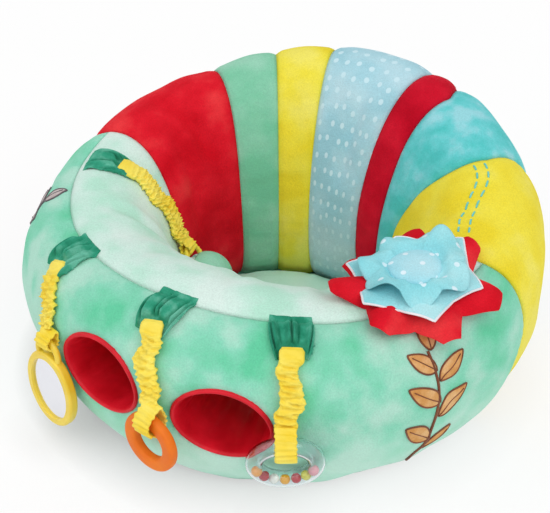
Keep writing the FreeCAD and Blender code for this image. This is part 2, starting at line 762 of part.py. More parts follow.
FLOWER_LAYERS = [
    ("flower_red_layer", s.flower_red_radius, STAR_POINTS, False),
    ("flower_blue_layer", s.flower_blue_radius, STAR_POINTS, False),
    ("flower_petals", s.flower_petal_radius, PETALS, True),
]
lift = s.seam_gap
waist_room = below(ring_waist(s.flower_angle))
for name, radius, points, wavy in FLOWER_LAYERS:
    sheet_of_cloth = drape(lift + s.flower_layer).cut([drape(lift, SPAN_MARGIN), waist_room])
    add_part(name, petal_prism(radius, points, wavy).common(sheet_of_cloth))
    lift += s.flower_layer + s.seam_gap

crest = wall_point(s.flower_angle, 90, lift)
dome_radius = (s.flower_centre_radius ** 2 + s.flower_centre_height ** 2) / (2 * s.flower_centre_height)
dome = Part.makeSphere(dome_radius, crest + UP * (s.flower_centre_height - dome_radius))
add_part("flower_centre", dome.cut(drape(lift)))

# Test every object, then write the sub-parts
doc.recompute()
for thing in doc.Objects:
    if "Invalid" in thing.State or "Error" in thing.State:
        raise RuntimeError(f"{thing.Label} failed: {thing.State}")
for part in parts:
    if part.Shape.isNull() or not part.Shape.isValid() or not part.Shape.Solids:
        raise RuntimeError(f"{part.Label} has no valid solid")
os.makedirs("parts", exist_ok=True)
for part in parts:
    part.Shape.exportStep(f"parts/{part.Label}.step")
    print(f"{part.Label}: {len(part.Shape.Solids)} solids, {part.Shape.Volume / 1000:.2f} ml")
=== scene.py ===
# Baby activity seat: a plush cover over an inflatable ring, with toys on ruched straps and a cloth flower.
# Metres, +Z up, -Y to the front. Angles go round the ring in degrees, from the front towards +X.
import json
import math

import bpy
import numpy as np
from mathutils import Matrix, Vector
from mathutils.geometry import tessellate_polygon


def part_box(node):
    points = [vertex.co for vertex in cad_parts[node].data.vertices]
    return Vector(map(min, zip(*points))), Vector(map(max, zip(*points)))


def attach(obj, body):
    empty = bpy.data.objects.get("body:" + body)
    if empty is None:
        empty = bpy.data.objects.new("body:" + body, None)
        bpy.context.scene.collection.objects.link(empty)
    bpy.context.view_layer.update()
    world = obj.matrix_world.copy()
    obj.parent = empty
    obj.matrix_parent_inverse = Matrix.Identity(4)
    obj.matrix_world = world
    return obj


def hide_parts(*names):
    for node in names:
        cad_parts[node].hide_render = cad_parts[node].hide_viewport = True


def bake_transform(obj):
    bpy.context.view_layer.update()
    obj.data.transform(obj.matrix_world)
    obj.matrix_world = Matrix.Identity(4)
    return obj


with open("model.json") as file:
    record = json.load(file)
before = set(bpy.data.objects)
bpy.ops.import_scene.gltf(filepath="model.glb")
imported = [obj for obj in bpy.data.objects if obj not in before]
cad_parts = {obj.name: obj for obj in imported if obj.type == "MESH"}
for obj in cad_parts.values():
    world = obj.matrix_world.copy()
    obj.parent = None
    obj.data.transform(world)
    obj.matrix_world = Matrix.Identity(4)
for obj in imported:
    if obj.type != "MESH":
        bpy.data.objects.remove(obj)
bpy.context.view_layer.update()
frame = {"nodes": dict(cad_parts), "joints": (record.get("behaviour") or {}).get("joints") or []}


# Inflatable ring: a welded bladder of thin vinyl film that gives the seat its shape.
# It is blown up inside the cover, so only its valve can be reached.
def shade(red, green, blue):
    """The colour that a screen shows at these levels, from 0 to 255, as a shader takes it."""
    levels = np.array([red, green, blue]) / 255
    linear = np.where(levels <= 0.04045, levels / 12.92, ((levels + 0.055) / 1.055) ** 2.4)
    return (*map(float, linear), 1.0)


def new_finish(name, **sockets):
    """A new material whose shader sockets get these values."""
    finish = bpy.data.materials.new(name)
    finish.use_nodes = True
    shader = finish.node_tree.nodes["Principled BSDF"]
    for socket, value in sockets.items():
        shader.inputs[socket.replace("_", " ")].default_value = value
    return finish


def add_node(finish, kind, **values):
    node = finish.node_tree.nodes.new("ShaderNode" + kind)
    for name, value in values.items():
        node.inputs[name.replace("_", " ")].default_value = value
    return node


def join(finish, start, output, end, socket):
    finish.node_tree.links.new(start.outputs[output], end.inputs[socket])


def shader_of(finish):
    return finish.node_tree.nodes["Principled BSDF"]


def add_noise(finish, size, detail=2.0):
    """Noise with blotches of about this size in metres, fixed to the piece."""
    where = add_node(finish, "TexCoord")
    noise = add_node(finish, "TexNoise", Scale=1 / size, Detail=detail)
    join(finish, where, "Object", noise, "Vector")
    return noise


def add_bump(finish, source, output, depth, strength, under=None):
    """Bump of this depth in metres, on top of an earlier bump if there is one."""
    bump = add_node(finish, "Bump", Strength=strength, Distance=depth)
    join(finish, source, output, bump, "Height")
    if under is not None:
        join(finish, under, "Normal", bump, "Normal")
    join(finish, bump, "Normal", shader_of(finish), "Normal")
    return bump


def add_ramp(finish, source, output, *stops):
    """A colour ramp after a node; each stop is a place and a colour."""
    ramp = add_node(finish, "ValToRGB")
    join(finish, source, output, ramp, "Fac")
    points = ramp.color_ramp.elements
    while len(points) < len(stops):
        points.new(0.5)
    for point, (place, colour) in zip(points, stops):
        point.position = place
        point.color = colour
    return ramp


def cloud(finish, size, detail, deep, pale, pale_from):
    """Colours a finish in soft clouds of two tones."""
    noise = add_noise(finish, size, detail)
    tint = add_ramp(finish, noise, "Fac", (0.35, deep), (pale_from, pale))
    join(finish, tint, "Color", shader_of(finish), "Base Color")
    return noise


def soft_vinyl(name, colour, pale):
    """Moulded soft vinyl: satin, faintly cloudy, with a fine skin."""
    finish = new_finish(name, Roughness=0.42, Specular_IOR_Level=0.45)
    cloud(finish, 0.02, 3, colour, pale, 0.7)
    add_bump(finish, add_noise(finish, 0.0012), "Fac", 0.0002, 0.4)
    return finish


def dress(node, finish):
    """Gives a CAD node whose shape stays a new finish."""
    mesh = frame["nodes"][node].data
    mesh.materials.clear()
    mesh.materials.append(finish)


bladder_film = soft_vinyl("bladder_film", shade(205, 215, 222), shade(228, 234, 238))
dress("inflatable_ring", bladder_film)

# Valve: a soft vinyl cup welded into the back of the bladder, in a round hole of the dotted panel.
# A plug of the same vinyl is pressed into it, and is pulled out to let the air go.
valve_skin = soft_vinyl("valve_vinyl", shade(228, 232, 234), shade(242, 244, 245))
dress("valve_body", valve_skin)
dress("valve_plug", valve_skin)


# Plush panels: short-pile polyester, cut in panels that are sewn edge to edge and pulled tight over the
# bladder. The seams draw in and pucker the pile, which shows paler where it is brushed the other way.

# Sizes of the ring at its front, side and back
RING_HEIGHT = (0.207, 0.218, 0.2845)
RING_WAIST = (0.124, 0.111, 0.133)
RING_HALF_WIDTH = (0.091, 0.0795, 0.0835)
RING_RADIUS = (0.188, 0.210, 0.202)
RING_LEAN = (0.0, 0.028, 0.033)
FLOOR_SINK = 0.012
BASE_THICKNESS = 0.006


def around(sizes, angle):
    """Passes smoothly from the size at the front over the side's to the back's."""
    front, side, back = sizes
    turn = np.radians(angle)
    mean = (front + back) / 4 + side / 2
    swing = (front + back) / 4 - side / 2
    return mean - (back - front) / 2 * np.cos(turn) + swing * np.cos(2 * turn)


def ring_point(angle, turn, grow=0.0):
    """Points of the ring: turn 0 is the outer waist, 90 the crest, 180 the inner waist."""
    angle, turn, grow = np.broadcast_arrays(angle, turn, grow)
    height = around(RING_HEIGHT, angle)
    waist = around(RING_WAIST, angle)
    rise = np.where(np.sin(np.radians(turn)) >= 0, height - waist, waist + FLOOR_SINK)
    level = waist + (rise + grow) * np.sin(np.radians(turn))
    lean = around(RING_LEAN, angle) * (level / height - 0.5)
    half_width = around(RING_HALF_WIDTH, angle) + grow
    reach = around(RING_RADIUS, angle) + half_width * np.cos(np.radians(turn)) + lean
    return np.stack([np.sin(np.radians(angle)) * reach, -np.cos(np.radians(angle)) * reach, level], axis=-1)


def ease(start, stop, value):
    share = np.clip((value - start) / (stop - start), 0, 1)
    return share * share * (3 - 2 * share)


def unit(vectors):
    return vectors / np.linalg.norm(vectors, axis=-1, keepdims=True)


def ring_wall(angle, turn):
    """Points of the ring, and the way straight out of it at each."""
    step = 0.05
    here = ring_point(angle, turn)
    across = unit(ring_point(angle + step, turn) - here)
    uphill = unit(ring_point(angle, turn + step) - here)
    return here, unit(np.cross(across, uphill))


def foot_turn(angle, level=BASE_THICKNESS):
    """The turn at which the outer wall passes a level near the floor."""
    waist = around(RING_WAIST, angle)
    return np.degrees(np.arcsin((level - waist) / (waist + FLOOR_SINK)))


def lumps(points, size, seed):
    """A smooth, uneven swell of about unit height, with humps of about this size."""
    draw = np.random.default_rng(seed)
    total = np.zeros(points.shape[:-1])
    waves = 14
    for _ in range(waves):
        way = unit(draw.normal(size=3))
        pitch = size * draw.uniform(0.7, 1.6)
        total += np.cos(2 * np.pi * (points @ way) / pitch + draw.uniform(0, 2 * np.pi))
    return total / math.sqrt(waves / 2)


SEAM_DEPTH = 0.0034
SEAM_WIDTH = 0.0042
SWELL = 0.0026
SWELL_REACH = 0.020
DEEPEST = 0.0036
PUCKER = 0.0010
PUCKER_PITCH = 0.013
PUCKER_REACH = 0.014
PUCKER_WANDER = 2.5
PUCKER_WANDER_PITCH = 0.031
SEAM_FLAT = 0.003
# Unevenness of the stuffed plush: height, size of the humps, seed
HUMPS = [(0.0016, 0.13, 3), (0.0007, 0.05, 4)]
# Creases of the plush: angle, turn of the middle, length in turn, slant, depth
CREASES = [
    (-113, 122, 26, -0.16, 0.0050), (-104, 150, 34, 0.05, 0.0035), (-52, 128, 24, 0.10, 0.0036),
    (-24, 118, 20, -0.08, 0.0030), (12, 120, 22, 0.06, 0.0032), (47, 124, 24, 0.12, 0.0034),
    (106, 126, 30, 0.05, 0.0034), (134, 136, 34, -0.06, 0.0030), (176, 140, 36, 0.03, 0.0032),
    (218, 132, 30, 0.06, 0.0030), (-76, 20, 30, 0.12, 0.0022), (64, 24, 30, -0.1, 0.0022),
    (152, 20, 34, 0.04, 0.0022), (205, 26, 30, 0.05, 0.0022),
]
CREASE_WIDTH = 0.009
# The swell beside a crease: its share of the depth, and its place and width in crease widths
CREASE_SWELL = (0.45, 1.9, 0.9)
# Share of the unevenness that is left where a seam pulls the plush tight
TIGHT_SHARE = 0.35


def plush_relief(angle, turn, seams):
    """How far the plush stands out of the ring's own shape.

    Each seam is given by the distance to it and the place along it.
    """
    points = ring_point(angle, turn)
    relief = sum(height * lumps(points, size, seed) for height, size, seed in HUMPS)
    fill = np.ones(points.shape[:-1])
    groove = np.zeros(points.shape[:-1])
    for gap, run in seams:
        fill = fill * (1 - np.exp(-(gap / SWELL_REACH) ** 2))
        groove = np.maximum(groove, np.exp(-(gap / SEAM_WIDTH) ** 2))
        wander = PUCKER_WANDER * np.sin(run / PUCKER_WANDER_PITCH)
        wave = np.sin(2 * np.pi * run / PUCKER_PITCH + wander)
        off_seam = 1 - np.exp(-(gap / SEAM_FLAT) ** 2)
        relief = relief + PUCKER * wave * np.exp(-gap / PUCKER_REACH) * off_seam
    for middle, height, length, slant, depth in CREASES:
        away = (angle - middle + 180) % 360 - 180 - slant * (turn - height)
        side = np.abs(np.radians(away) * np.hypot(points[..., 0], points[..., 1])) / CREASE_WIDTH
        reach = np.exp(-((turn - height) / length) ** 2)
        swell_share, swell_place, swell_width = CREASE_SWELL
        beside = swell_share * np.exp(-((side - swell_place) / swell_width) ** 2)
        relief = relief - depth * reach * (np.exp(-side ** 2) - beside)
    slack = TIGHT_SHARE + (1 - TIGHT_SHARE) * fill
    relief = relief * slack + SWELL * fill - SEAM_DEPTH * groove
    return np.maximum(relief, -DEEPEST)


# Seams across the ring: angle at the crest, and how far the seam slants from there to the outer waist and
# to the inner waist
SEAMS = dict(
    left=(-93.2, 0, 6), right=(86.0, 6.5, 0), yellow=(124.3, 8, 10), turquoise=(150.5, 14, -4),
    red_strip=(163.4, 3, 0), dotted=(195.0, 0, 0), yellow_back=(212.5, 0, 0), green=(230.4, 0, 2),
    red=(266.8, 0, 6),
)
# Radii that turn an angle over the section, or round the ring, into a length along a seam
OVER_SECTION = 0.1
ROUND_RING = 0.2


def seam_angle(seam, turn):
    crest, outer, inner = SEAMS[seam]
    level = np.cos(np.radians(turn))
    return crest + outer * np.maximum(level, 0) + inner * np.maximum(-level, 0) ** 4


def seam_across(angle, turn, seam):
    """Distance to a seam that runs over the ring, and the place along it."""
    points = ring_point(angle, turn)
    gap = np.abs(np.radians(angle - seam_angle(seam, turn))) * np.hypot(points[..., 0], points[..., 1])
    return gap, np.radians(turn) * OVER_SECTION


SHOULDER_TURN = 73.0
SECTION_RADIUS = 0.087


def seam_along(angle, turn):
    """Distance to the shoulder seam, which runs along the ring, and the place along it."""
    return np.abs(np.radians(turn - SHOULDER_TURN)) * SECTION_RADIUS, np.radians(angle) * ROUND_RING


# Leg openings: place, level and half sizes of the sleeves in front and at the cavity
LEG_SIZES = dict(
    left=(
        dict(x=-0.061, y=-0.290, level=0.120, half_width=0.053, half_height=0.040),
        dict(x=-0.044, y=-0.055, level=0.095, half_width=0.033, half_height=0.035),
    ),
    right=(
        dict(x=0.092, y=-0.290, level=0.109, half_width=0.053, half_height=0.040),
        dict(x=0.044, y=-0.055, level=0.095, half_width=0.033, half_height=0.035),
    ),
)
LINER_EDGE = 0.0034


def leg_section(hand, y):
    front, back = LEG_SIZES[hand]
    share = (y - back["y"]) / (front["y"] - back["y"])
    return {key: back[key] + (front[key] - back[key]) * share for key in front}


def leg_miss(points):
    """About how far points lie outside the nearer leg opening; below zero inside it."""
    misses = []
    for hand in LEG_SIZES:
        sleeve = leg_section(hand, points[..., 1])
        side = (points[..., 0] - sleeve["x"]) / sleeve["half_width"]
        share = np.hypot(side, (points[..., 2] - sleeve["level"]) / sleeve["half_height"])
        misses.append((share - 1) * sleeve["half_height"] - LINER_EDGE)
    return np.minimum(*misses)


VALVE_LEVEL = 0.060
VALVE_PORT_RADIUS = 0.0178


def valve_miss(points):
    """How far points of the back wall lie outside the hole for the valve; below zero inside it."""
    apart = np.hypot(points[..., 0], points[..., 2] - VALVE_LEVEL) - VALVE_PORT_RADIUS
    return np.where(points[..., 1] > RING_RADIUS[2], apart, 1.0)


def edge_of_opening(angle, turn, inside, miss_at):
    """Moves the places that lie inside an opening out to its edge, along the plush."""
    angle, turn = angle.copy(), turn.copy()
    step = 0.02
    for _ in range(14):
        points = ring_point(angle, turn)
        miss = miss_at(points)
        around_slope = (miss_at(ring_point(angle + step, turn)) - miss) / step
        over_slope = (miss_at(ring_point(angle, turn + step)) - miss) / step
        around_scale = 1 / np.hypot(points[..., 0], points[..., 1]) ** 2
        over_scale = 1 / SECTION_RADIUS ** 2
        size = around_slope ** 2 * around_scale + over_slope ** 2 * over_scale + 1e-12
        move = np.where(inside, -miss / size, 0) * 0.8
        angle += np.clip(move * around_slope * around_scale, -3, 3)
        turn += np.clip(move * over_slope * over_scale, -3, 3)
    return angle, turn


def grid_faces(rows, columns, round_rows=False, round_columns=False):
    """Four-sided faces over a grid of points, which may close on itself either way."""
    row, column = np.meshgrid(
        np.arange(rows if round_rows else rows - 1), np.arange(columns if round_columns else columns - 1),
        indexing="ij",
    )
    next_row, next_column = (row + 1) % rows, (column + 1) % columns
    corners = [row * columns + column, row * columns + next_column]
    corners += [next_row * columns + next_column, next_row * columns + column]
    return np.stack(corners, axis=-1).reshape(-1, 4)


def add_piece(name, points, faces, finish, spread=None):
    """A smooth mesh piece, without the points that no face uses.

    spread, where there is one, gives each point a place on the flat cut of the cloth.
    """
    points = np.asarray(points, float).reshape(-1, 3)
    faces = [list(map(int, face)) for face in faces]
    used = sorted({corner for face in faces for corner in face})
    place = {old: new for new, old in enumerate(used)}
    mesh = bpy.data.meshes.new(name)
    mesh.from_pydata(points[used].tolist(), [], [[place[corner] for corner in face] for face in faces])
    mesh.validate()
    mesh.polygons.foreach_set("use_smooth", [True] * len(mesh.polygons))
    mesh.materials.append(finish)
    if spread is not None:
        flat = np.asarray(spread, float).reshape(-1, 2)[used]
        layer = mesh.uv_layers.new(name="flat_cut")
        corners = np.zeros(len(mesh.loops), np.int32)
        mesh.loops.foreach_get("vertex_index", corners)
        layer.data.foreach_set("uv", flat[corners].astype(np.float32).ravel())
    piece = bpy.data.objects.new(name, mesh)
    bpy.context.scene.collection.objects.link(piece)
    return piece


def fit(piece, body, slot, *nodes):
    """The piece rides on a body and stands for CAD nodes, which are hidden. The slot argument is not used."""
    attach(piece, body)
    if nodes:
        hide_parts(*nodes)


def thicken(piece, thickness):
    """Gives a sheet its thickness, behind its face."""
    layer = piece.modifiers.new("thickness", "SOLIDIFY")
    layer.thickness = thickness
    layer.offset = -1


def grey(level):
    return (level, level, level, 1.0)


def plush(name, deep, colour, pale, blotch=0.045, sheen=0.35):
    """Short pile: soft blotches where it is brushed, fine fibres, and a pale sheen."""
    finish = new_finish(
        name, Sheen_Weight=sheen, Sheen_Roughness=0.45, Sheen_Tint=pale, Specular_IOR_Level=0.15
    )
    broad = add_noise(finish, blotch * 3, 2)
    close = add_noise(finish, blotch, 4)
    mixed = add_node(finish, "MixRGB", Fac=0.5)
    join(finish, broad, "Fac", mixed, "Color1")
    join(finish, close, "Fac", mixed, "Color2")
    toned = add_ramp(finish, mixed, "Color", (0.40, deep), (0.50, colour), (0.60, pale))
    fibre = add_noise(finish, 0.0016, 3)
    speckle = add_ramp(finish, fibre, "Fac", (0.3, grey(0.86)), (0.7, grey(1)))
    tinted = add_node(finish, "MixRGB", Fac=1.0)
    tinted.blend_type = "MULTIPLY"
    join(finish, toned, "Color", tinted, "Color1")
    join(finish, speckle, "Color", tinted, "Color2")
    join(finish, tinted, "Color", shader_of(finish), "Base Color")
    matt = add_ramp(finish, close, "Fac", (0.3, grey(0.95)), (0.7, grey(0.78)))
    join(finish, matt, "Color", shader_of(finish), "Roughness")
    nap = add_bump(finish, add_noise(finish, 0.006, 3), "Fac", 0.0016, 0.35)
    add_bump(finish, fibre, "Fac", 0.0007, 0.6, nap)
    return finish


def colour_source(finish):
    """The output that feeds the shader's colour."""
    return shader_of(finish).inputs["Base Color"].links[0].from_socket


def spotted(finish, pitch, size, spot_colour):
    """Prints round spots over a finish, on the flat cut of the cloth."""
    ground = colour_source(finish)
    where = add_node(finish, "UVMap")
    cells = add_node(finish, "TexVoronoi", Scale=1 / pitch, Randomness=0.35)
    cells.voronoi_dimensions = "2D"
    join(finish, where, "UV", cells, "Vector")
    rim = size / pitch
    inside = add_ramp(finish, cells, "Distance", (rim * 0.86, grey(1)), (rim * 1.1, grey(0)))
    printed = add_node(finish, "MixRGB", Color2=spot_colour)
    join(finish, inside, "Color", printed, "Fac")
    finish.node_tree.links.new(ground, printed.inputs["Color1"])
    join(finish, printed, "Color", shader_of(finish), "Base Color")


def painted_bounce_below(finish, pale, low, high):
    """Paints the plush paler towards the floor, between two levels: a painted highlight for light bounced up
    from the white floor.
    """
    ground = colour_source(finish)
    where = add_node(finish, "TexCoord")
    parts = add_node(finish, "SeparateXYZ")
    join(finish, where, "Object", parts, "Vector")
    share = add_node(finish, "MapRange", From_Min=low, From_Max=high, To_Min=0.75, To_Max=0.0)
    join(finish, parts, "Z", share, "Value")
    toned = add_node(finish, "MixRGB", Color2=pale)
    join(finish, share, "Result", toned, "Fac")
    finish.node_tree.links.new(ground, toned.inputs["Color1"])
    join(finish, toned, "Color", shader_of(finish), "Base Color")


mint = plush("mint_plush", shade(106, 212, 168), shade(144, 223, 194), shade(184, 232, 213))
# Painted highlight: the front wall is painted paler low down, where the white floor lights it from below.
painted_bounce_below(mint, shade(214, 244, 232), low=0.012, high=0.105)
# The rim's mint is paler than the wall's. This is partly the rim panel's own pile, brushed another way above
# the shoulder seam, and partly a painted highlight where light falls on the top of the ring.
rim_mint_and_highlight = plush("rim_mint_plush_and_painted_highlight", shade(190, 238, 217), shade(214, 244, 232), shade(227, 247, 239))
green = plush("green_plush", shade(122, 204, 166), shade(142, 211, 179), shade(162, 219, 193))
red = plush("red_plush", shade(212, 8, 30), shade(230, 22, 42), shade(244, 56, 62), sheen=0.15)
crimson = plush("crimson_plush", shade(190, 2, 32), shade(208, 8, 40), shade(224, 22, 50), sheen=0.1)
yellow = plush("yellow_plush", shade(246, 224, 52), shade(250, 234, 74), shade(252, 240, 108), sheen=0.2)
turquoise = plush(
    "turquoise_plush", shade(84, 204, 202), shade(112, 215, 218), shade(158, 224, 232),
    blotch=0.022, sheen=0.45,
)
dotted = plush("dotted_plush", shade(160, 212, 226), shade(178, 222, 234), shade(196, 230, 240))
spotted(dotted, pitch=0.019, size=0.0036, spot_colour=shade(202, 232, 241))

PANEL_PITCH = 0.0048
PLUSH_THICKNESS = 0.0035
CUT_EDGE_THICKNESS = 0.0008
# Radii that turn an angle round the ring, or over its section, into a count of columns or rows
MEAN_RADIUS = 0.27
MEAN_SECTION = 0.11
# How far out of the middle of the ring's section the flat cut is measured
CUT_OUT = 0.02
# Radius that turns a place round an opening into a length along its edge
OPENING_RUN = 0.12


def cover_panel(name, seams, turns, finish, slot, node, miss_at, shoulder=False):
    """A plush panel between two seams, from one turn of the section to another, cut round its openings.

    miss_at gives the distance to the nearest opening, and is None for a panel that has none.
    """
    start, stop = seams
    first, last = SEAMS[start][0], SEAMS[stop][0]
    columns = max(10, round(math.radians(last - first) * MEAN_RADIUS / PANEL_PITCH))
    across = np.linspace(0, 1, columns + 1)[None, :]
    angle = first + (last - first) * across
    low, high = (limit(angle) if callable(limit) else limit for limit in turns)
    rows = round(math.radians(np.max(high - low)) * MEAN_SECTION / PANEL_PITCH)
    upward = np.linspace(0, 1, rows + 1)[:, None]
    for _ in range(3):
        turn = low + (high - low) * upward
        angle = seam_angle(start, turn) * (1 - across) + seam_angle(stop, turn) * across
        low, high = (limit(angle) if callable(limit) else limit for limit in turns)
    turn = low + (high - low) * upward + 0 * angle
    faces = grid_faces(rows + 1, columns + 1)
    flat_points = ring_point(angle, turn)
    steps = np.linalg.norm(np.diff(flat_points, axis=0), axis=-1).mean(1)
    up_cut = np.concatenate([[0], np.cumsum(steps)])[:, None] + 0 * angle
    reach = around(RING_RADIUS, (first + last) / 2) + CUT_OUT
    spread = np.stack([np.radians(angle) * reach, up_cut], axis=-1)
    if miss_at:
        inside = miss_at(flat_points) < 0
        faces = faces[~inside.ravel()[faces].all(axis=1)]
        angle, turn = edge_of_opening(angle, turn, inside, miss_at)
    edges = [seam_across(angle, turn, start), seam_across(angle, turn, stop)]
    if miss_at:
        off_edge = np.maximum(miss_at(ring_point(angle, turn)), 0)
        edges.append((off_edge, np.radians(angle + turn) * OPENING_RUN))
    if shoulder:
        edges.append(seam_along(angle, turn))
    point, out = ring_wall(angle, turn)
    point = point + out * plush_relief(angle, turn, edges)[..., None]
    panel = add_piece(name, point, faces, finish, spread)
    thicken(panel, CUT_EDGE_THICKNESS if miss_at else PLUSH_THICKNESS)
    fit(panel, "cover", slot, node)


def inner_foot(angle):
    return 180 - foot_turn(angle)


FRONT_SEAMS = ("left", "right")
cover_panel(
    "front_wall_plush", FRONT_SEAMS, (foot_turn, SHOULDER_TURN), mint, "mint_plush", "front_panel",
    leg_miss, shoulder=True,
)
cover_panel(
    "front_rim_plush", FRONT_SEAMS, (SHOULDER_TURN, inner_foot), rim_mint_and_highlight, "mint_plush", "rim_panel",
    leg_miss, shoulder=True,
)
BACK_PANELS = [
    ("yellow_panel", ("right", "yellow"), yellow, "yellow_plush"),
    ("turquoise_panel", ("yellow", "turquoise"), turquoise, "turquoise_plush"),
    ("red_strip_panel", ("turquoise", "red_strip"), crimson, "red_plush"),
    ("dotted_panel", ("red_strip", "dotted"), dotted, "dotted_cloth"),
    ("yellow_back_panel", ("dotted", "yellow_back"), yellow, "yellow_plush"),
    ("green_panel", ("yellow_back", "green"), green, "green_plush"),
    ("red_panel", ("green", "red"), red, "red_plush"),
]
for node, seams, finish, slot in BACK_PANELS:
    miss_at = valve_miss if node == "dotted_panel" else None
    cover_panel(node + "_plush", seams, (foot_turn, inner_foot), finish, slot, node, miss_at)


# Leg liners: red satin sleeves through the front of the ring. Each is sewn to the plush round both mouths,
# where it rolls over the edge, and gathers into soft pleats inside.
def ring_excess(points):
    """Below zero inside the ring, above zero outside it."""
    angle = np.degrees(np.arctan2(points[..., 0], -points[..., 1]))
    height = around(RING_HEIGHT, angle)
    waist = around(RING_WAIST, angle)
    level = points[..., 2]
    rise = np.where(level >= waist, height - waist, waist + FLOOR_SINK)
    lean = around(RING_LEAN, angle) * (level / height - 0.5)
    reach = np.hypot(points[..., 0], points[..., 1]) - around(RING_RADIUS, angle) - lean
    return np.hypot(reach / around(RING_HALF_WIDTH, angle), (level - waist) / rise) - 1


def sleeve_point(hand, turn, y, grow):
    sleeve = leg_section(hand, y)
    across = (sleeve["half_width"] + grow) * np.cos(turn)
    up = (sleeve["half_height"] + grow) * np.sin(turn)
    return np.stack(np.broadcast_arrays(sleeve["x"] + across, y, sleeve["level"] + up), axis=-1)


def sleeve_mouth(hand, turn, outside, inside):
    """Where each line of the sleeve passes the wall, between a place outside the ring and one inside it."""
    low, high = np.full_like(turn, outside), np.full_like(turn, inside)
    for _ in range(40):
        middle = (low + high) / 2
        out = ring_excess(sleeve_point(hand, turn, middle, 0.0)) > 0
        low, high = np.where(out, middle, low), np.where(out, high, middle)
    return (low + high) / 2


def full_turn(count):
    """Even steps once round a circle."""
    return np.linspace(0, 2 * np.pi, count, endpoint=False)


def satin(name, deep, colour, weave=0.0009):
    """Smooth woven lining with a soft gloss and a fine thread."""
    finish = new_finish(
        name, Roughness=0.5, Sheen_Weight=0.25, Sheen_Roughness=0.35, Sheen_Tint=colour,
        Specular_IOR_Level=0.3,
    )
    cloud(finish, 0.03, 3, deep, colour, 0.65)
    where = add_node(finish, "TexCoord")
    thread = add_node(finish, "TexWave", Scale=1 / weave / 6, Distortion=1.5, Detail=1.0)
    join(finish, where, "Object", thread, "Vector")
    threads = add_bump(finish, thread, "Fac", 0.0003, 0.3)
    add_bump(finish, add_noise(finish, 0.004, 2), "Fac", 0.0008, 0.3, threads)
    return finish


lining = satin("red_lining", shade(206, 10, 32), shade(228, 24, 46))
LINER_SIDES = 112
LINER_ROWS = 26
LINER_PLEATS = 13
LINER_THICKNESS = 0.0012
LINER_INSET = 0.0008
PLEAT_DEPTH = 0.0019
ROOF_SAG = 0.004
# Places along the sleeves that lie before the ring, inside it and in the cavity
BEFORE_RING, INSIDE_RING, IN_CAVITY = -0.34, -0.185, -0.03
# The rolled edge at a mouth: how far in from the wall, and how far out from the sleeve
MOUTH_ROLL = [
    (0.012, 0.0050), (0.006, 0.0050), (0.0022, 0.0040), (0.0008, 0.0022), (0.0014, 0.0006), (0.0042, -0.0004),
]
for hand in LEG_SIZES:
    turn = full_turn(LINER_SIDES)
    front = sleeve_mouth(hand, turn, BEFORE_RING, INSIDE_RING)
    back = sleeve_mouth(hand, turn, IN_CAVITY, INSIDE_RING)
    rows = [sleeve_point(hand, turn, front + inward, grow) for inward, grow in MOUTH_ROLL]
    for share in np.linspace(0.06, 0.94, LINER_ROWS):
        y = front + (back - front) * share
        wave = np.cos(LINER_PLEATS * turn + 1.4 * np.sin(2 * turn) + 2 * share)
        slack = np.sin(np.pi * share) ** 0.7
        sag = ROOF_SAG * slack * np.maximum(np.sin(turn), 0)
        rows.append(sleeve_point(hand, turn, y, -LINER_INSET + PLEAT_DEPTH * wave * slack - sag))
    rows += [sleeve_point(hand, turn, back - inward, grow) for inward, grow in reversed(MOUTH_ROLL)]
    rows = np.array(rows)
    faces = grid_faces(len(rows), LINER_SIDES, round_columns=True)
    liner = add_piece(hand + "_leg_lining", rows, faces, lining)
    fit(liner, "cover", "red_lining", hand + "_leg_liner")
    thicken(liner, LINER_THICKNESS)


# Base panel: a flat woven cloth, sewn to the feet of the plush panels, that closes the cover below. A plastic
# zip on two tapes lies under the back of the ring, so that the bladder comes out and the cover can be washed.
def woven(name, deep, colour, thread=0.0011):
    """Plain weave: two sets of threads, one over the other."""
    finish = new_finish(name, Roughness=0.8, Specular_IOR_Level=0.25, Sheen_Weight=0.1)
    cloud(finish, 0.04, 3, deep, colour, 0.65)
    where = add_node(finish, "TexCoord")
    under = None
    for direction in ("X", "Y"):
        threads = add_node(finish, "TexWave", Scale=1 / thread / 6, Distortion=0.6, Detail=1.0)
        threads.bands_direction = direction
        join(finish, where, "Object", threads, "Vector")
        under = add_bump(finish, threads, "Fac", 0.0004, 0.4, under)
    return finish


base_cloth = woven("base_cloth", shade(118, 190, 162), shade(142, 208, 182))
ZIP_LOW, ZIP_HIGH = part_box("zip_tapes")
BASE_SIDES = 144
BASE_INSET = 0.0005
HEM_INSET = 0.0006
base_level = BASE_THICKNESS - BASE_INSET
base_turns = np.linspace(SEAMS["left"][0], SEAMS["red"][0], BASE_SIDES, endpoint=False)
base_foot = foot_turn(base_turns, BASE_THICKNESS / 2)
base_seams = [seam_across(base_turns, base_foot, seam) for seam in SEAMS]
base_hem = plush_relief(base_turns, base_foot, base_seams) - HEM_INSET
base_edge = ring_point(base_turns, base_foot, base_hem)
base_edge[:, 2] = base_level
slot_edge = [
    (ZIP_LOW.x, ZIP_LOW.y, base_level), (ZIP_HIGH.x, ZIP_LOW.y, base_level),
    (ZIP_HIGH.x, ZIP_HIGH.y, base_level), (ZIP_LOW.x, ZIP_HIGH.y, base_level),
]
base_corners = [list(point) for point in base_edge] + [list(point) for point in slot_edge]
base_faces = tessellate_polygon([[Vector(p) for p in base_edge], [Vector(p) for p in slot_edge]])
base = add_piece("base_cloth_panel", base_corners, base_faces, base_cloth)
for face in base.data.polygons:
    face.use_smooth = False
    if face.normal.z < 0:
        face.flip()
thicken(base, BASE_THICKNESS - 2 * BASE_INSET)
fit(base, "cover", "base_cloth", "base_panel")

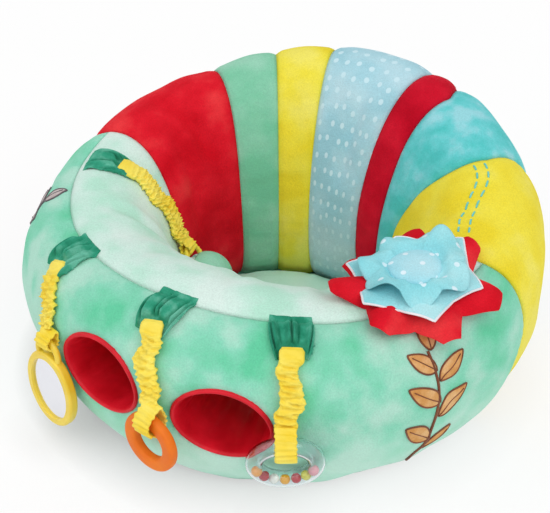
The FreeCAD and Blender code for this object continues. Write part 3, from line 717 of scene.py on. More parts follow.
zip_cloth = woven("zip_tape", shade(150, 205, 184), shade(172, 218, 200), 0.0008)
dress("zip_tapes", zip_cloth)
zip_plastic = soft_vinyl("zip_plastic", shade(196, 226, 214), shade(214, 236, 226))
dress("zip_end_stops", zip_plastic)
dress("zip_slider", zip_plastic)
CHAIN_LOW, CHAIN_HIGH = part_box("zip_chain")
TOOTH_PITCH = 0.0026
TOOTH_LENGTH = 0.0019
TOOTH_HALF_WIDTH = 0.0018
TOOTH_HALF_HEIGHT = 0.00115
TOOTH_STAGGER = 0.0006
# Share of a pitch before the first tooth
TOOTH_START = 0.2
TOOTH_SHAPE = [(-1, -0.8), (-0.8, -1), (0.8, -1), (1, -0.8), (1, 0.8), (0.8, 1), (-0.8, 1), (-1, 0.8)]
tooth_points, tooth_faces = [], []
teeth = int((CHAIN_HIGH.x - CHAIN_LOW.x) / TOOTH_PITCH)
for tooth in range(teeth):
    left = CHAIN_LOW.x + (tooth + TOOTH_START) * TOOTH_PITCH
    hand = 1 if tooth % 2 else -1
    middle_y = (CHAIN_LOW.y + CHAIN_HIGH.y) / 2 + hand * TOOTH_STAGGER
    middle_z = (CHAIN_LOW.z + CHAIN_HIGH.z) / 2
    first = len(tooth_points)
    for x in (left, left + TOOTH_LENGTH):
        for y_share, z_share in TOOTH_SHAPE:
            y = middle_y + y_share * TOOTH_HALF_WIDTH
            tooth_points.append((x, y, middle_z + z_share * TOOTH_HALF_HEIGHT))
    count = len(TOOTH_SHAPE)
    second = first + count
    for k in range(count):
        after = (k + 1) % count
        tooth_faces.append([first + k, first + after, second + after, second + k])
    tooth_faces += [[first + k for k in reversed(range(count))], [second + k for k in range(count)]]
zip_teeth = add_piece("zip_teeth", tooth_points, tooth_faces, zip_plastic)
fit(zip_teeth, "cover", "zip_plastic", "zip_chain")


# Seat pad: a round cushion of the same plush, stuffed with fibre, that lies on the base at the bottom of
# the cavity. Its cover is blown out a little over the stuffing by a cloth simulation.

# Rows of its side: level, and share of the way from the middle to the ring's inner wall
PAD_LEVELS = [(0.006, 0.90), (0.010, 0.955), (0.016, 0.97), (0.021, 0.93), (0.0245, 0.80), (0.0262, 0.5)]
PAD_TOP = 0.0268
PAD_SIDES = 96
PAD_MESH = 0.006
PAD_PRESSURE = 4.0
PAD_CAP = 0.004
PAD_FRAMES = 20
pad_turns = np.linspace(0, 360, PAD_SIDES, endpoint=False)
pad_rows = []
for level, reach in PAD_LEVELS:
    wall = ring_point(pad_turns, 180 - foot_turn(pad_turns, level))
    pad_rows.append(np.stack([wall[:, 0] * reach, wall[:, 1] * reach, np.full(len(wall), level)], axis=-1))
pad_middles = [[0, 0, PAD_LEVELS[0][0]], [0, 0, PAD_TOP]]
pad_points = np.concatenate([np.array(pad_rows).reshape(-1, 3), pad_middles])
pad_faces = grid_faces(len(PAD_LEVELS), PAD_SIDES, round_columns=True)[:, ::-1].tolist()
last = len(PAD_LEVELS) * PAD_SIDES
pad_faces += [[last, k, (k + 1) % PAD_SIDES] for k in range(PAD_SIDES)]
top = (len(PAD_LEVELS) - 1) * PAD_SIDES
pad_faces += [[last + 1, top + (k + 1) % PAD_SIDES, top + k] for k in range(PAD_SIDES)]


def blown_out(piece, voxel, pressure, cap, frames):
    """Swells a stuffed piece: remeshed evenly, blown up as cloth, with each point held to a short move."""
    scene = bpy.context.scene
    even = piece.modifiers.new("even", "REMESH")
    even.mode = "VOXEL"
    even.voxel_size = voxel
    even.use_smooth_shade = True
    graph = bpy.context.evaluated_depsgraph_get()
    piece.data = bpy.data.meshes.new_from_object(piece.evaluated_get(graph))
    piece.modifiers.clear()
    start = np.array([point.co for point in piece.data.vertices])
    cloth = piece.modifiers.new("cloth", "CLOTH")
    cloth.settings.quality = 5
    cloth.settings.mass = 0.3
    cloth.settings.tension_stiffness = 12
    cloth.settings.compression_stiffness = 12
    cloth.settings.bending_stiffness = 0.5
    cloth.settings.use_pressure = True
    cloth.settings.uniform_pressure_force = pressure
    cloth.settings.effector_weights.gravity = 0
    for step in range(1, frames + 1):
        scene.frame_set(step)
    graph = bpy.context.evaluated_depsgraph_get()
    swollen = bpy.data.meshes.new_from_object(piece.evaluated_get(graph))
    end = np.array([point.co for point in swollen.vertices])
    move = end - start
    size = np.linalg.norm(move, axis=1, keepdims=True)
    end = start + move * np.minimum(1, cap / np.maximum(size, 1e-9))
    end[:, 2] = np.maximum(end[:, 2], BASE_THICKNESS)
    piece.modifiers.clear()
    piece.data = swollen
    piece.data.vertices.foreach_set("co", end.astype(np.float32).ravel())
    piece.data.polygons.foreach_set("use_smooth", [True] * len(piece.data.polygons))
    scene.frame_set(1)


seat_pad = add_piece("seat_pad_cushion", pad_points, pad_faces, mint)
blown_out(seat_pad, PAD_MESH, PAD_PRESSURE, PAD_CAP, PAD_FRAMES)
fit(seat_pad, "cover", "mint_plush", "seat_pad")


# Leaf tabs: a doubled piece of dark green velvet, sewn flat into the shoulder seam. Below the seam it is
# pleated and drawn together, and its rounded lower corners hang on both sides of the root of a strap.
velvet = plush(
    "leaf_velvet", shade(36, 140, 108), shade(58, 163, 131), shade(112, 194, 168), blotch=0.016, sheen=1.0
)
shader_of(velvet).inputs["Sheen Roughness"].default_value = 0.3
TAB_ROWS = 30
TAB_COLUMNS = 91
TAB_HALF_WIDE = 0.0205
TAB_HALF_NARROW = 0.0182
TAB_PLEATS = 4
TAB_THICKNESS = 0.0015
TAB_LIFT = 0.0010
TAB_SINK = 0.0030
# Depth of the pleats at the seam, and how much deeper they are at the lower end
PLEAT_AT_SEAM = 0.0020
PLEAT_DEEPER = 0.0105
LIFT_UNDER_STRAP = 0.0012
# How far the end of a tab goes past the root of its strap, in degrees of turn
TAB_OVERLAP = 3


def front_relief(angle, turn):
    edges = [seam_across(angle, turn, seam) for seam in FRONT_SEAMS]
    edges.append(seam_along(angle, turn))
    return plush_relief(angle, turn, edges)


def leaf_tab(name, middle, end_turn, seam_turn, lean):
    """A pleated tab, straight and flat at the seam and bunched round the root of the strap."""
    share = np.linspace(0, 1, TAB_ROWS)[:, None]
    across = np.linspace(-1, 1, TAB_COLUMNS)[None, :]
    hang = np.exp(-((np.abs(across) - 0.74) / 0.2) ** 2)
    length = 1 + 0.24 * hang - 0.16 * np.abs(across) ** 6 - 0.05 * np.cos(3 * np.pi * across + len(name))
    turn = seam_turn + (end_turn - seam_turn) * share * length
    half = TAB_HALF_WIDE + (TAB_HALF_NARROW - TAB_HALF_WIDE) * share ** 1.6
    bow = 1 + 0.05 * np.sin(np.pi * share) - 0.10 * share ** 6
    reach = np.hypot(*np.moveaxis(ring_point(middle, seam_turn), -1, 0)[:2])
    angle = middle + np.degrees((across * half * bow + lean * (1 - share)) / reach)
    turn, angle = np.broadcast_arrays(turn, angle)
    point, out = ring_wall(angle, turn)
    drawn = across * (1 + 0.5 * share ** 1.5)
    place = (drawn + 0.16 * np.sin(2 * np.pi * drawn + len(name))) * TAB_PLEATS / 2
    pleat = np.abs(np.sin(np.pi * place)) ** 0.8
    edge = np.sqrt(np.maximum(1 - across ** 4, 0))
    deep = PLEAT_AT_SEAM + PLEAT_DEEPER * share ** 0.7
    height = TAB_LIFT + deep * pleat * (0.35 + 0.65 * edge)
    height = height * np.minimum(1, 0.25 + 4 * share) * (1 - 0.35 * share ** 8)
    under_strap = ease(0.66, 0.84, share) * (1 - ease(0.62, 0.86, np.abs(across)))
    height = height * (1 - under_strap) + LIFT_UNDER_STRAP * under_strap
    height = height + np.maximum(front_relief(angle, turn), -TAB_SINK)
    cloth = point + out * height[..., None]
    tab = add_piece(name + "_leaf_tab", cloth, grid_faces(TAB_ROWS, TAB_COLUMNS), velvet)
    if seam_turn > end_turn:
        tab.data.flip_normals()
    thicken(tab, TAB_THICKNESS)
    fit(tab, "cover", "leaf_plush", name + "_tab")


# Each strap: its angle and its drift sideways, the turns at its root and where it leaves the ring, its gap to
# the ring and its straight run to the loop
STRAPS = dict(
    mirror=dict(angle=-35.0, drift=5.5, root=53.0, leave=24.0, gap=0.0016, run=0.022),
    teether=dict(angle=0.0, drift=2.5, root=53.0, leave=21.0, gap=0.0016, run=0.031),
    rattle=dict(angle=33.0, drift=-0.8, root=53.0, leave=22.0, gap=0.0016, run=0.031),
    ball=dict(angle=-78.0, drift=0.0, root=108.0, leave=155.0, gap=0.0030, run=0.036),
)
# Where each tab is sewn in: the turn of its seam, and how far the seam lies to one side
TAB_SEAMS = dict(mirror=(78.0, -0.006), teether=(78.0, 0.006), rattle=(77.0, 0.0), ball=(80.0, 0.0))
for name, (seam_turn, lean) in TAB_SEAMS.items():
    root_turn = STRAPS[name]["root"]
    end_turn = root_turn + math.copysign(TAB_OVERLAP, root_turn - seam_turn)
    leaf_tab(name, STRAPS[name]["angle"], end_turn, seam_turn, lean)


# Ruched straps: a tube of yellow satin gathered on an elastic. Each is sewn under the lower end of its tab,
# lies over the shoulder of the ring, and ends in a flat loop that holds a toy.
STRAP_THICKNESS = 0.009
STRAP_ARC_SHARE = 0.72
STRAP_WIDTH = 0.0250
STRAP_RINGS = 210
STRAP_SIDES = 36
STRAP_LIFT = 0.0006
# Pitch and depth of the gathers
GATHER_PITCH = 0.0060
GATHER_DEPTH = 0.0017
STRAP_WAVES = 7
# Sideways wander of a gathered strap: a slow swing and a quick one, each with its reach and pitch
SLOW_SWAY = (0.0034, 0.052)
QUICK_SWAY = (0.0012, 0.0037)
strap_satin = satin("strap_satin", shade(246, 216, 58), shade(253, 234, 104), 0.0007)


def along(angle):
    return np.array([math.cos(math.radians(angle)), math.sin(math.radians(angle)), 0.0])


def outward(angle):
    return np.array([math.sin(math.radians(angle)), -math.cos(math.radians(angle)), 0.0])


def strap_line(lie, share):
    """Points along the middle of a strap, and the ways it runs there."""

    def lying(part):
        turn = lie["root"] + (lie["leave"] - lie["root"]) * part
        return ring_point(lie["angle"] + lie["drift"] * part, turn, lie["gap"] + STRAP_THICKNESS / 2)

    arc = np.minimum(share / STRAP_ARC_SHARE, 1)
    way = unit(lying(arc + 0.025) - lying(arc))
    hanging = lie["run"] * np.maximum(share - STRAP_ARC_SHARE, 0) / (1 - STRAP_ARC_SHARE)
    return lying(arc) + way * hanging[:, None], way


def flattened(wave, power):
    """A wave with the flatter tops, the smaller the power is."""
    return np.sign(wave) * np.abs(wave) ** power


def capped(rings, sides):
    """Faces of a tube of rings, closed at both ends."""
    faces = grid_faces(rings, sides, round_columns=True).tolist()
    faces.append(list(range(sides))[::-1])
    faces.append([(rings - 1) * sides + k for k in range(sides)])
    return faces


def ruched_strap(name, lie, seed):
    """A flat tube, smooth at its root, then gathered into uneven folds all the way to the loop."""
    draw = np.random.default_rng(seed)
    share = np.linspace(0, 1, STRAP_RINGS)
    middle, way = strap_line(lie, share)
    run = np.concatenate([[0], np.cumsum(np.linalg.norm(np.diff(middle, axis=0), axis=1))])
    out = unit(np.cross(way, along(lie["angle"])))
    across = np.cross(out, way)
    inner = lie["leave"] > lie["root"]
    if inner:
        out = -out
    at_root = ease(0, 0.06, share)
    gathered = ease(0.12, 0.30, share) * (1 - 0.6 * ease(0.92, 1, share))
    width = STRAP_WIDTH * (1 + gathered * (0.07 * np.sin(run / 0.0088 + draw.uniform(0, 6)) - 0.09))
    width = width * (1 - 0.12 * ease(0.92, 1, share)) * (0.82 + 0.18 * at_root)
    thickness = STRAP_THICKNESS * (0.9 - 0.3 * ease(0.9, 1, share)) * (0.55 + 0.45 * at_root)
    sway = SLOW_SWAY[0] * np.sin(2 * np.pi * run / SLOW_SWAY[1] + draw.uniform(0, 6))
    sway = sway + QUICK_SWAY[0] * np.sin(run / QUICK_SWAY[1] + draw.uniform(0, 6))
    sway = sway * gathered * (1 - ease(0.85, 1, share))
    turn = full_turn(STRAP_SIDES)
    side = flattened(np.cos(turn), 0.75)
    rise = flattened(np.sin(turn), 0.85)
    ridge = np.zeros((STRAP_RINGS, STRAP_SIDES))
    for wave in range(STRAP_WAVES):
        slant = draw.normal(0, 0.55)
        pitch = GATHER_PITCH * draw.uniform(0.75, 1.7)
        front = run[:, None] + slant * (side * STRAP_WIDTH / 2)[None, :]
        ridge += np.sin(2 * np.pi * front / pitch + draw.uniform(0, 6) + 2 * (rise > 0)[None, :] * wave)
    ridge = GATHER_DEPTH * ridge / math.sqrt(STRAP_WAVES / 2) * (0.12 + 0.88 * gathered[:, None])
    lifted = STRAP_LIFT + rise[None, :] * (thickness[:, None] / 2 + ridge)
    sideways = side[None, :] * (width[:, None] / 2 + 0.3 * ridge) + sway[:, None]
    points = middle[:, None] + out[:, None] * lifted[..., None]
    points = points + across[:, None] * sideways[..., None]
    strap = add_piece(name + "_ruched_strap", points, capped(STRAP_RINGS, STRAP_SIDES), strap_satin)
    if inner:
        strap.data.flip_normals()
    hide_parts(name + "_strap")
    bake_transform(strap)


LOOP_RINGS = 90
LOOP_SIDES = 18
LOOP_BAND = 0.003
LOOP_NECK = 0.004
LOOP_RIPPLE = 0.0011


def strap_loop(name, centre, axis, body):
    """The end of the strap, turned back round the bar of a toy and gathered like the rest."""
    low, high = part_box(name + "_loop")
    _, ways = strap_line(STRAPS[name], np.array([1.0]))
    way = ways[0]
    outer = (high.z - low.z) / 2
    width = float(np.hypot(high.x - low.x, high.y - low.y)) * 0.8
    up = unit(-way + axis * (way @ axis))
    front = np.cross(axis, up)
    turn = full_turn(LOOP_RINGS)
    reach = outer - LOOP_BAND / 2 + (LOOP_NECK + LOOP_BAND / 2) * np.maximum(np.cos(turn), 0) ** 12
    section = full_turn(LOOP_SIDES)
    wide = flattened(np.cos(section), 0.4) * min(width, STRAP_WIDTH * 0.86) / 2
    thick = flattened(np.sin(section), 0.6) * LOOP_BAND / 2
    folds = round(2 * np.pi * outer / GATHER_PITCH)
    frill = 1 + 0.05 * np.sin(turn * folds + 1.4 * np.sin(3 * turn))[:, None]
    slant = 2.2 * np.cos(section)[None, :] * np.sin(2 * turn)[:, None]
    ripple = LOOP_RIPPLE * np.sin(turn[:, None] * folds + slant) * (np.sin(section) > 0)[None, :]
    radial = up[None, :] * np.cos(turn)[:, None] + front[None, :] * np.sin(turn)[:, None]
    points = centre + radial[:, None] * (reach[:, None] + thick[None, :] + ripple)[..., None]
    points = points + axis * (wide[None, :] * frill)[..., None]
    faces = grid_faces(LOOP_RINGS, LOOP_SIDES, True, True)
    loop = add_piece(name + "_strap_loop", points, faces, strap_satin)
    fit(loop, body, "strap_cloth", name + "_loop")


joints = {joint["name"]: joint for joint in frame["joints"]}
hangers = {name: np.array(joints[name + "_swing"]["pos_m"]) for name in STRAPS}
swing_axes = {name: np.array(joints[name + "_swing"]["axis"]) for name in STRAPS}
for seed, (name, lie) in enumerate(STRAPS.items()):
    ruched_strap(name, lie, seed)
    strap_loop(name, hangers[name], swing_axes[name], name + "_strap")


# Toy mirror: an oval frame of moulded yellow plastic that hangs by its eye in the loop of the left strap.
# A safety mirror of silvered acrylic lies in its front, held by a plain backing that is pressed in behind.
def moulded(name, colour, pale, roughness=0.32):
    """Moulded toy plastic: satin, with a faint grain and a soft change of colour."""
    finish = new_finish(name, Specular_IOR_Level=0.5, Coat_Weight=0.15, Coat_Roughness=0.2)
    cloud(finish, 0.025, 2, colour, pale, 0.7)
    wear = add_noise(finish, 0.008, 3)
    worn = add_ramp(finish, wear, "Fac", (0.3, grey(roughness)), (0.7, grey(roughness + 0.12)))
    join(finish, worn, "Color", shader_of(finish), "Roughness")
    add_bump(finish, add_noise(finish, 0.0009), "Fac", 0.0001, 0.35)
    return finish


def silvered(name):
    """Acrylic mirror: nearly clear reflection with a faint waviness."""
    finish = new_finish(name, Base_Color=shade(232, 232, 238), Metallic=1.0)
    smear = add_ramp(finish, add_noise(finish, 0.02, 3), "Fac", (0.3, grey(0.06)), (0.7, grey(0.16)))
    join(finish, smear, "Color", shader_of(finish), "Roughness")
    add_bump(finish, add_noise(finish, 0.03, 1), "Fac", 0.0003, 0.25)
    return finish


dress("mirror_frame", moulded("mirror_frame_plastic", shade(238, 204, 44), shade(246, 218, 70)))
dress("mirror_plate", silvered("mirror_plate_acrylic"))
dress("mirror_backing", moulded("mirror_backing_plastic", shade(236, 234, 226), shade(244, 242, 236), 0.5))


# Teether: a ring of soft orange silicone with a flattened bar, moulded in one piece.
# It hangs loose in the loop of the middle strap.
def silicone(name, colour, pale):
    """Soft matt silicone: a little light goes into it, and dust dulls it unevenly."""
    finish = new_finish(name, Subsurface_Weight=0.12, Subsurface_Scale=0.004, Specular_IOR_Level=0.35)
    clouds = cloud(finish, 0.02, 3, colour, pale, 0.7)
    dust = add_ramp(finish, clouds, "Fac", (0.3, grey(0.5)), (0.7, grey(0.62)))
    join(finish, dust, "Color", shader_of(finish), "Roughness")
    add_bump(finish, add_noise(finish, 0.0008), "Fac", 0.00015, 0.4)
    return finish


TEETHER_RADIUS = 0.026
TEETHER_BAND = 0.0075
TEETHER_DEPTH = 0.0058
TEETHER_FLATNESS = 0.62
TEETHER_RINGS, TEETHER_SIDES = 96, 28
UP = np.array([0, 0, 1.0])
teether_across = -swing_axes["teether"]
teether_turn = full_turn(TEETHER_RINGS)[:, None]
bar_turn = full_turn(TEETHER_SIDES)[None, :]
bar_wide = TEETHER_BAND * flattened(np.cos(bar_turn), TEETHER_FLATNESS)
bar_deep = TEETHER_DEPTH * flattened(np.sin(bar_turn), TEETHER_FLATNESS)
teether_ray = teether_across * np.sin(teether_turn)[..., None] - UP * np.cos(teether_turn)[..., None]
teether_points = hangers["teether"] - UP * TEETHER_RADIUS
teether_points = teether_points + teether_ray * (TEETHER_RADIUS + bar_wide)[..., None]
teether_points = teether_points + np.cross(teether_across, UP) * bar_deep[..., None]
teether = add_piece(
    "teether_silicone_ring", teether_points, grid_faces(TEETHER_RINGS, TEETHER_SIDES, True, True),
    silicone("teether_silicone", shade(234, 112, 10), shade(243, 128, 24)),
)
fit(teether, "teether", "teether", "teether_ring")

# Rattle: a ring of clear plastic tube, welded from two moulded halves, that hangs in the loop of the right
# strap. Coloured plastic beads lie at the bottom of the tube and roll round inside it.
clear = new_finish(
    "clear_plastic", Base_Color=shade(240, 246, 248), Roughness=0.04, IOR=1.45, Transmission_Weight=1.0,
    Specular_IOR_Level=0.5,
)
add_bump(clear, add_noise(clear, 0.012, 2), "Fac", 0.0002, 0.2)
clear_paths = add_node(clear, "LightPath")
clear_light = add_node(clear, "BsdfTransparent", Color=(0.93, 0.95, 0.96, 1))
clear_mix = add_node(clear, "MixShader")
join(clear, clear_paths, "Is Shadow Ray", clear_mix, 0)
join(clear, shader_of(clear), "BSDF", clear_mix, 1)
join(clear, clear_light, "BSDF", clear_mix, 2)
join(clear, clear_mix, "Shader", clear.node_tree.nodes["Material Output"], "Surface")
dress("rattle_ring", clear)
BEAD_RADIUS = 0.0054
BEAD_PITCH_SHARE = 1.08
BEAD_GAP = 0.0003
BEAD_GLOSS = 0.15
BEAD_ROWS, BEAD_SIDES = 15, 24
BEAD_TIP = 0.12
BEAD_COLOURS = [
    shade(248, 158, 26), shade(188, 26, 44), shade(248, 244, 234), shade(248, 176, 40), shade(196, 30, 46),
    shade(226, 216, 80), shade(240, 156, 166),
]
RATTLE_RADIUS = 0.031
RATTLE_BAR = 0.009
RATTLE_WALL = 0.0016
rattle_middle = np.array(joints["rattle_beads_roll"]["pos_m"])
rattle_across = -swing_axes["rattle"]
rattle_up = unit(hangers["rattle"] - rattle_middle)
bead_path = RATTLE_RADIUS + RATTLE_BAR - RATTLE_WALL - BEAD_RADIUS - BEAD_GAP
bead_pitch = 2 * math.asin(BEAD_PITCH_SHARE * BEAD_RADIUS / bead_path)
bead_points, bead_faces = [], []
for bead in range(len(BEAD_COLOURS)):
    turn = (bead - (len(BEAD_COLOURS) - 1) / 2) * bead_pitch
    spot = rattle_middle + (rattle_across * math.sin(turn) - rattle_up * math.cos(turn)) * bead_path
    first = len(bead_points)
    for row in np.linspace(BEAD_TIP, np.pi - BEAD_TIP, BEAD_ROWS):
        for column in full_turn(BEAD_SIDES):
            level = math.sin(row)
            ray = np.array([level * math.cos(column), level * math.sin(column), math.cos(row)])
            bead_points.append(spot + ray * BEAD_RADIUS)
    bead_faces += (grid_faces(BEAD_ROWS, BEAD_SIDES, round_columns=True)[:, ::-1] + first).tolist()
    bead_faces.append([first + k for k in range(BEAD_SIDES)])
    bead_faces.append([first + (BEAD_ROWS - 1) * BEAD_SIDES + k for k in reversed(range(BEAD_SIDES))])
bead_finishes = [
    moulded(f"bead_{bead}", colour, colour, BEAD_GLOSS) for bead, colour in enumerate(BEAD_COLOURS)
]
beads = add_piece("rattle_bead_set", bead_points, bead_faces, bead_finishes[0])
for finish in bead_finishes[1:]:
    beads.data.materials.append(finish)
faces_each = len(bead_faces) // len(BEAD_COLOURS)
for number, face in enumerate(beads.data.polygons):
    face.material_index = number // faces_each
fit(beads, "beads", "beads", "rattle_beads")


# Soft ball: one half of green plush and one of dotted cloth, sewn round the middle and stuffed, with a bell
# inside and a loop of gathered tape on top.
BALL_RADIUS = 0.029
BALL_TILT = 33.0
EYE_RADIUS = 0.014
EYE_BAR = 0.0028
BALL_STRAP_ANGLE = STRAPS["ball"]["angle"]
BALL_ROWS, BALL_SIDES = 30, 72
BALL_CLOTH = 0.0018
BALL_POLE = 2
BALL_SEAM = 0.0022
BALL_SWELL = 0.0006
BALL_PUCKERS = 22
BALL_PUCKER = 0.0004
BALL_PUCKER_REACH = 0.004
ball_front = -outward(BALL_STRAP_ANGLE)
tilt = math.radians(BALL_TILT)
ball_up = UP * math.cos(tilt) - ball_front * math.sin(tilt)
ball_ahead = ball_front * math.cos(tilt) + UP * math.sin(tilt)
ball_across = along(BALL_STRAP_ANGLE)
ball_middle = hangers["ball"] - ball_up * (EYE_RADIUS + BALL_RADIUS)
ball_dots = plush("ball_dotted_plush", shade(140, 214, 210), shade(164, 222, 218), shade(184, 230, 226))
spotted(ball_dots, pitch=0.021, size=0.0058, spot_colour=shade(236, 246, 246))
BALL_HALVES = [
    (1, green, "green_plush", "ball_green_half"),
    (-1, ball_dots, "petal_cloth", "ball_dotted_half"),
]
for hand, finish, slot, node in BALL_HALVES:
    tip = np.radians(np.linspace(BALL_POLE, 90, BALL_ROWS))[:, None]
    turn = full_turn(BALL_SIDES)[None, :]
    gap = (np.pi / 2 - tip) * BALL_RADIUS
    pucker = np.sin(BALL_PUCKERS * turn + 2 * np.sin(3 * turn))
    radius = BALL_RADIUS + BALL_SWELL - BALL_SEAM * np.exp(-(gap / BALL_SEAM) ** 2)
    radius = radius + BALL_PUCKER * pucker * np.exp(-gap / BALL_PUCKER_REACH)
    level = ball_across * np.cos(turn)[..., None] + ball_up * np.sin(turn)[..., None]
    ray = ball_ahead * (hand * np.cos(tip))[..., None] + level * np.sin(tip)[..., None]
    points = ball_middle + ray * radius[..., None]
    faces = grid_faces(BALL_ROWS, BALL_SIDES, round_columns=True).tolist()
    faces.append(list(reversed(range(BALL_SIDES))))
    flat = np.stack([tip * BALL_RADIUS * np.cos(turn), tip * BALL_RADIUS * np.sin(turn)], axis=-1)
    half = add_piece(node + "_cover", points, faces, finish, flat)
    if hand < 0:
        half.data.flip_normals()
    thicken(half, BALL_CLOTH)
    fit(half, "ball", slot, node)
TAPE_RINGS, TAPE_SIDES = 60, 14
TAPE_GATHERS = 22
TAPE_FOLD = 0.14
tape_turn = full_turn(TAPE_RINGS)[:, None]
tape_side = full_turn(TAPE_SIDES)[None, :]
tape_bar = EYE_BAR * (1 + TAPE_FOLD * np.sin(TAPE_GATHERS * tape_turn))
tape_ray = ball_across * np.sin(tape_turn)[..., None] + ball_up * np.cos(tape_turn)[..., None]
tape_points = hangers["ball"] - ball_up * EYE_RADIUS
tape_points = tape_points + tape_ray * (EYE_RADIUS + tape_bar * np.cos(tape_side))[..., None]
tape_points = tape_points + ball_ahead * (tape_bar * np.sin(tape_side))[..., None]
tape_faces = grid_faces(TAPE_RINGS, TAPE_SIDES, True, True)
ball_tape = add_piece("ball_gathered_tape", tape_points, tape_faces, strap_satin)
fit(ball_tape, "ball", "strap_cloth", "ball_loop_tape")
fibre_fill = woven("fibre_fill", shade(236, 236, 232), shade(246, 246, 243), 0.003)
dress("ball_stuffing", fibre_fill)
bell_metal = new_finish("bell_metal", Base_Color=shade(205, 205, 208), Metallic=1.0, Roughness=0.22)
add_bump(bell_metal, add_noise(bell_metal, 0.002), "Fac", 0.0001, 0.3)
dress("ball_bell", bell_metal)


# Flower: three layers of cloth, each two faces sewn together and turned, that lie on the rim one over the
# other, and a round centre that is stitched down through them.
FLOWER_ANGLE = 68.5
FLOWER_SPREAD = 0.045
FLOWER_GAP = 0.0003
FLOWER_LAYER = 0.004
flower_hub = ring_point(FLOWER_ANGLE, 90.0) * np.array([1, 1, 0])


def rim_height(points, lift):
    """Height of a cloth that lies on the rim and droops less than the rim does."""
    angle = np.degrees(np.arctan2(points[..., 0], -points[..., 1]))
    height = around(RING_HEIGHT, angle)
    waist = around(RING_WAIST, angle)
    level = height
    for _ in range(6):
        lean = around(RING_LEAN, angle) * (level / height - 0.5)
        reach = np.hypot(points[..., 0], points[..., 1]) - around(RING_RADIUS, angle) - lean
        share = np.clip(reach / (around(RING_HALF_WIDTH, angle) + FLOWER_SPREAD), -0.98, 0.98)
        level = waist + (height - waist) * np.sqrt(1 - share ** 2)
    return level + lift


def star(turn, points, valley, phase):
    """Reach of a star with straight sides, as a share of its tips."""
    half = np.pi / points
    turn = np.abs((turn + phase + half) % (2 * half) - half)
    dip = valley * math.sin(half)
    return dip / (dip * np.cos(turn) + (1 - valley * math.cos(half)) * np.sin(turn))


LAYER_RINGS = 22
LAYER_SIDES = 240


def flower_layer(name, node, radius, lift, thickness, outline, wave, finish, slot):
    """A padded layer: two faces that meet round its edge."""
    turn = full_turn(LAYER_SIDES)[None, :]
    share = np.linspace(0.02, 1, LAYER_RINGS)[:, None] ** 0.8
    reach = radius * outline(turn) * share
    flat = reach[..., None] * (
        outward(FLOWER_ANGLE) * np.cos(turn)[..., None] + along(FLOWER_ANGLE) * np.sin(turn)[..., None]
    )
    middle = flower_hub + flat
    middle[..., 2] = rim_height(middle, lift) + wave(share, turn)
    plump = thickness / 2 * np.sqrt(np.maximum(1 - share ** 5, 0)) + 0.0004
    face = middle + UP * plump[..., None]
    back = middle - UP * plump[..., None]
    points = np.concatenate([face.reshape(-1, 3), back[::-1].reshape(-1, 3)])
    faces = grid_faces(2 * LAYER_RINGS, LAYER_SIDES, round_columns=True)[:, ::-1].tolist()
    faces.append(list(range(LAYER_SIDES)))
    faces.append([(2 * LAYER_RINGS - 1) * LAYER_SIDES + k for k in reversed(range(LAYER_SIDES))])
    spread = np.stack([reach * np.cos(turn), reach * np.sin(turn)], axis=-1)
    spread = np.concatenate([spread.reshape(-1, 2), spread[::-1].reshape(-1, 2)])
    layer = add_piece(name, points, faces, finish, spread)
    fit(layer, "cover", slot, node)
    return middle


def uneven(turn, size, seed):
    """A slow change round a layer, for tips that aren't all alike."""
    draw = np.random.default_rng(seed)
    return 1 + size * sum(np.cos(k * turn + draw.uniform(0, 6)) for k in (2, 3, 5)) / 3


COTTON_SHEEN = 0.15
blue_cloth = plush(
    "blue_cloth", shade(150, 224, 232), shade(170, 233, 240), shade(194, 240, 245), sheen=COTTON_SHEEN
)
petal_dots = plush(
    "petal_cloth", shade(134, 218, 228), shade(156, 228, 236), shade(180, 236, 242), sheen=COTTON_SHEEN
)
spotted(petal_dots, pitch=0.026, size=0.0029, spot_colour=shade(220, 242, 250))
centre_dots = plush(
    "centre_cloth", shade(160, 222, 236), shade(174, 230, 242), shade(190, 236, 246), sheen=COTTON_SHEEN
)
spotted(centre_dots, pitch=0.021, size=0.0028, spot_colour=shade(228, 244, 252))
# Points of the two stars, where they start, and how far the points curl and the layers sway
RED_POINTS, RED_PHASE, RED_CURL, RED_SWAY = 7, 0.25, 0.007, 0.003
BLUE_POINTS, BLUE_PHASE, BLUE_CURL, BLUE_SWAY = 6, 0.45, 0.003, 0.004
PETAL_BOWL = 0.0075
PETAL_CREASE = 0.006
PETAL_SINK = 0.002
CENTRE_DROOP = 0.002
layer_step = FLOWER_LAYER + FLOWER_GAP
layer_lift = FLOWER_GAP + FLOWER_LAYER / 2


def red_outline(turn):
    """Seven points with cut-off tips."""
    return np.minimum(1.22 * star(turn, RED_POINTS, 0.58, RED_PHASE), 1.0) * uneven(turn, 0.06, 5)


def red_wave(share, turn):
    curl = RED_CURL * share ** 2 * np.cos(RED_POINTS * (turn + RED_PHASE))
    return curl + RED_SWAY * share ** 2 * np.sin(3 * turn + 1)


def blue_outline(turn):
    return star(turn, BLUE_POINTS, 0.79, BLUE_PHASE) * uneven(turn, 0.05, 6)


def blue_wave(share, turn):
    curl = BLUE_CURL * share ** 3 * np.cos(BLUE_POINTS * (turn + BLUE_PHASE))
    return curl + BLUE_SWAY * share ** 2 * np.sin(2 * turn + 2)


def between_petals(turn):
    """Falls to zero at the creases that part the petals."""
    return np.abs(np.sin(3 * turn + 0.5 * np.sin(turn + 1)))


def petal_outline(turn):
    return (0.84 + 0.16 * between_petals(turn) ** 0.6) * uneven(turn, 0.05, 7)


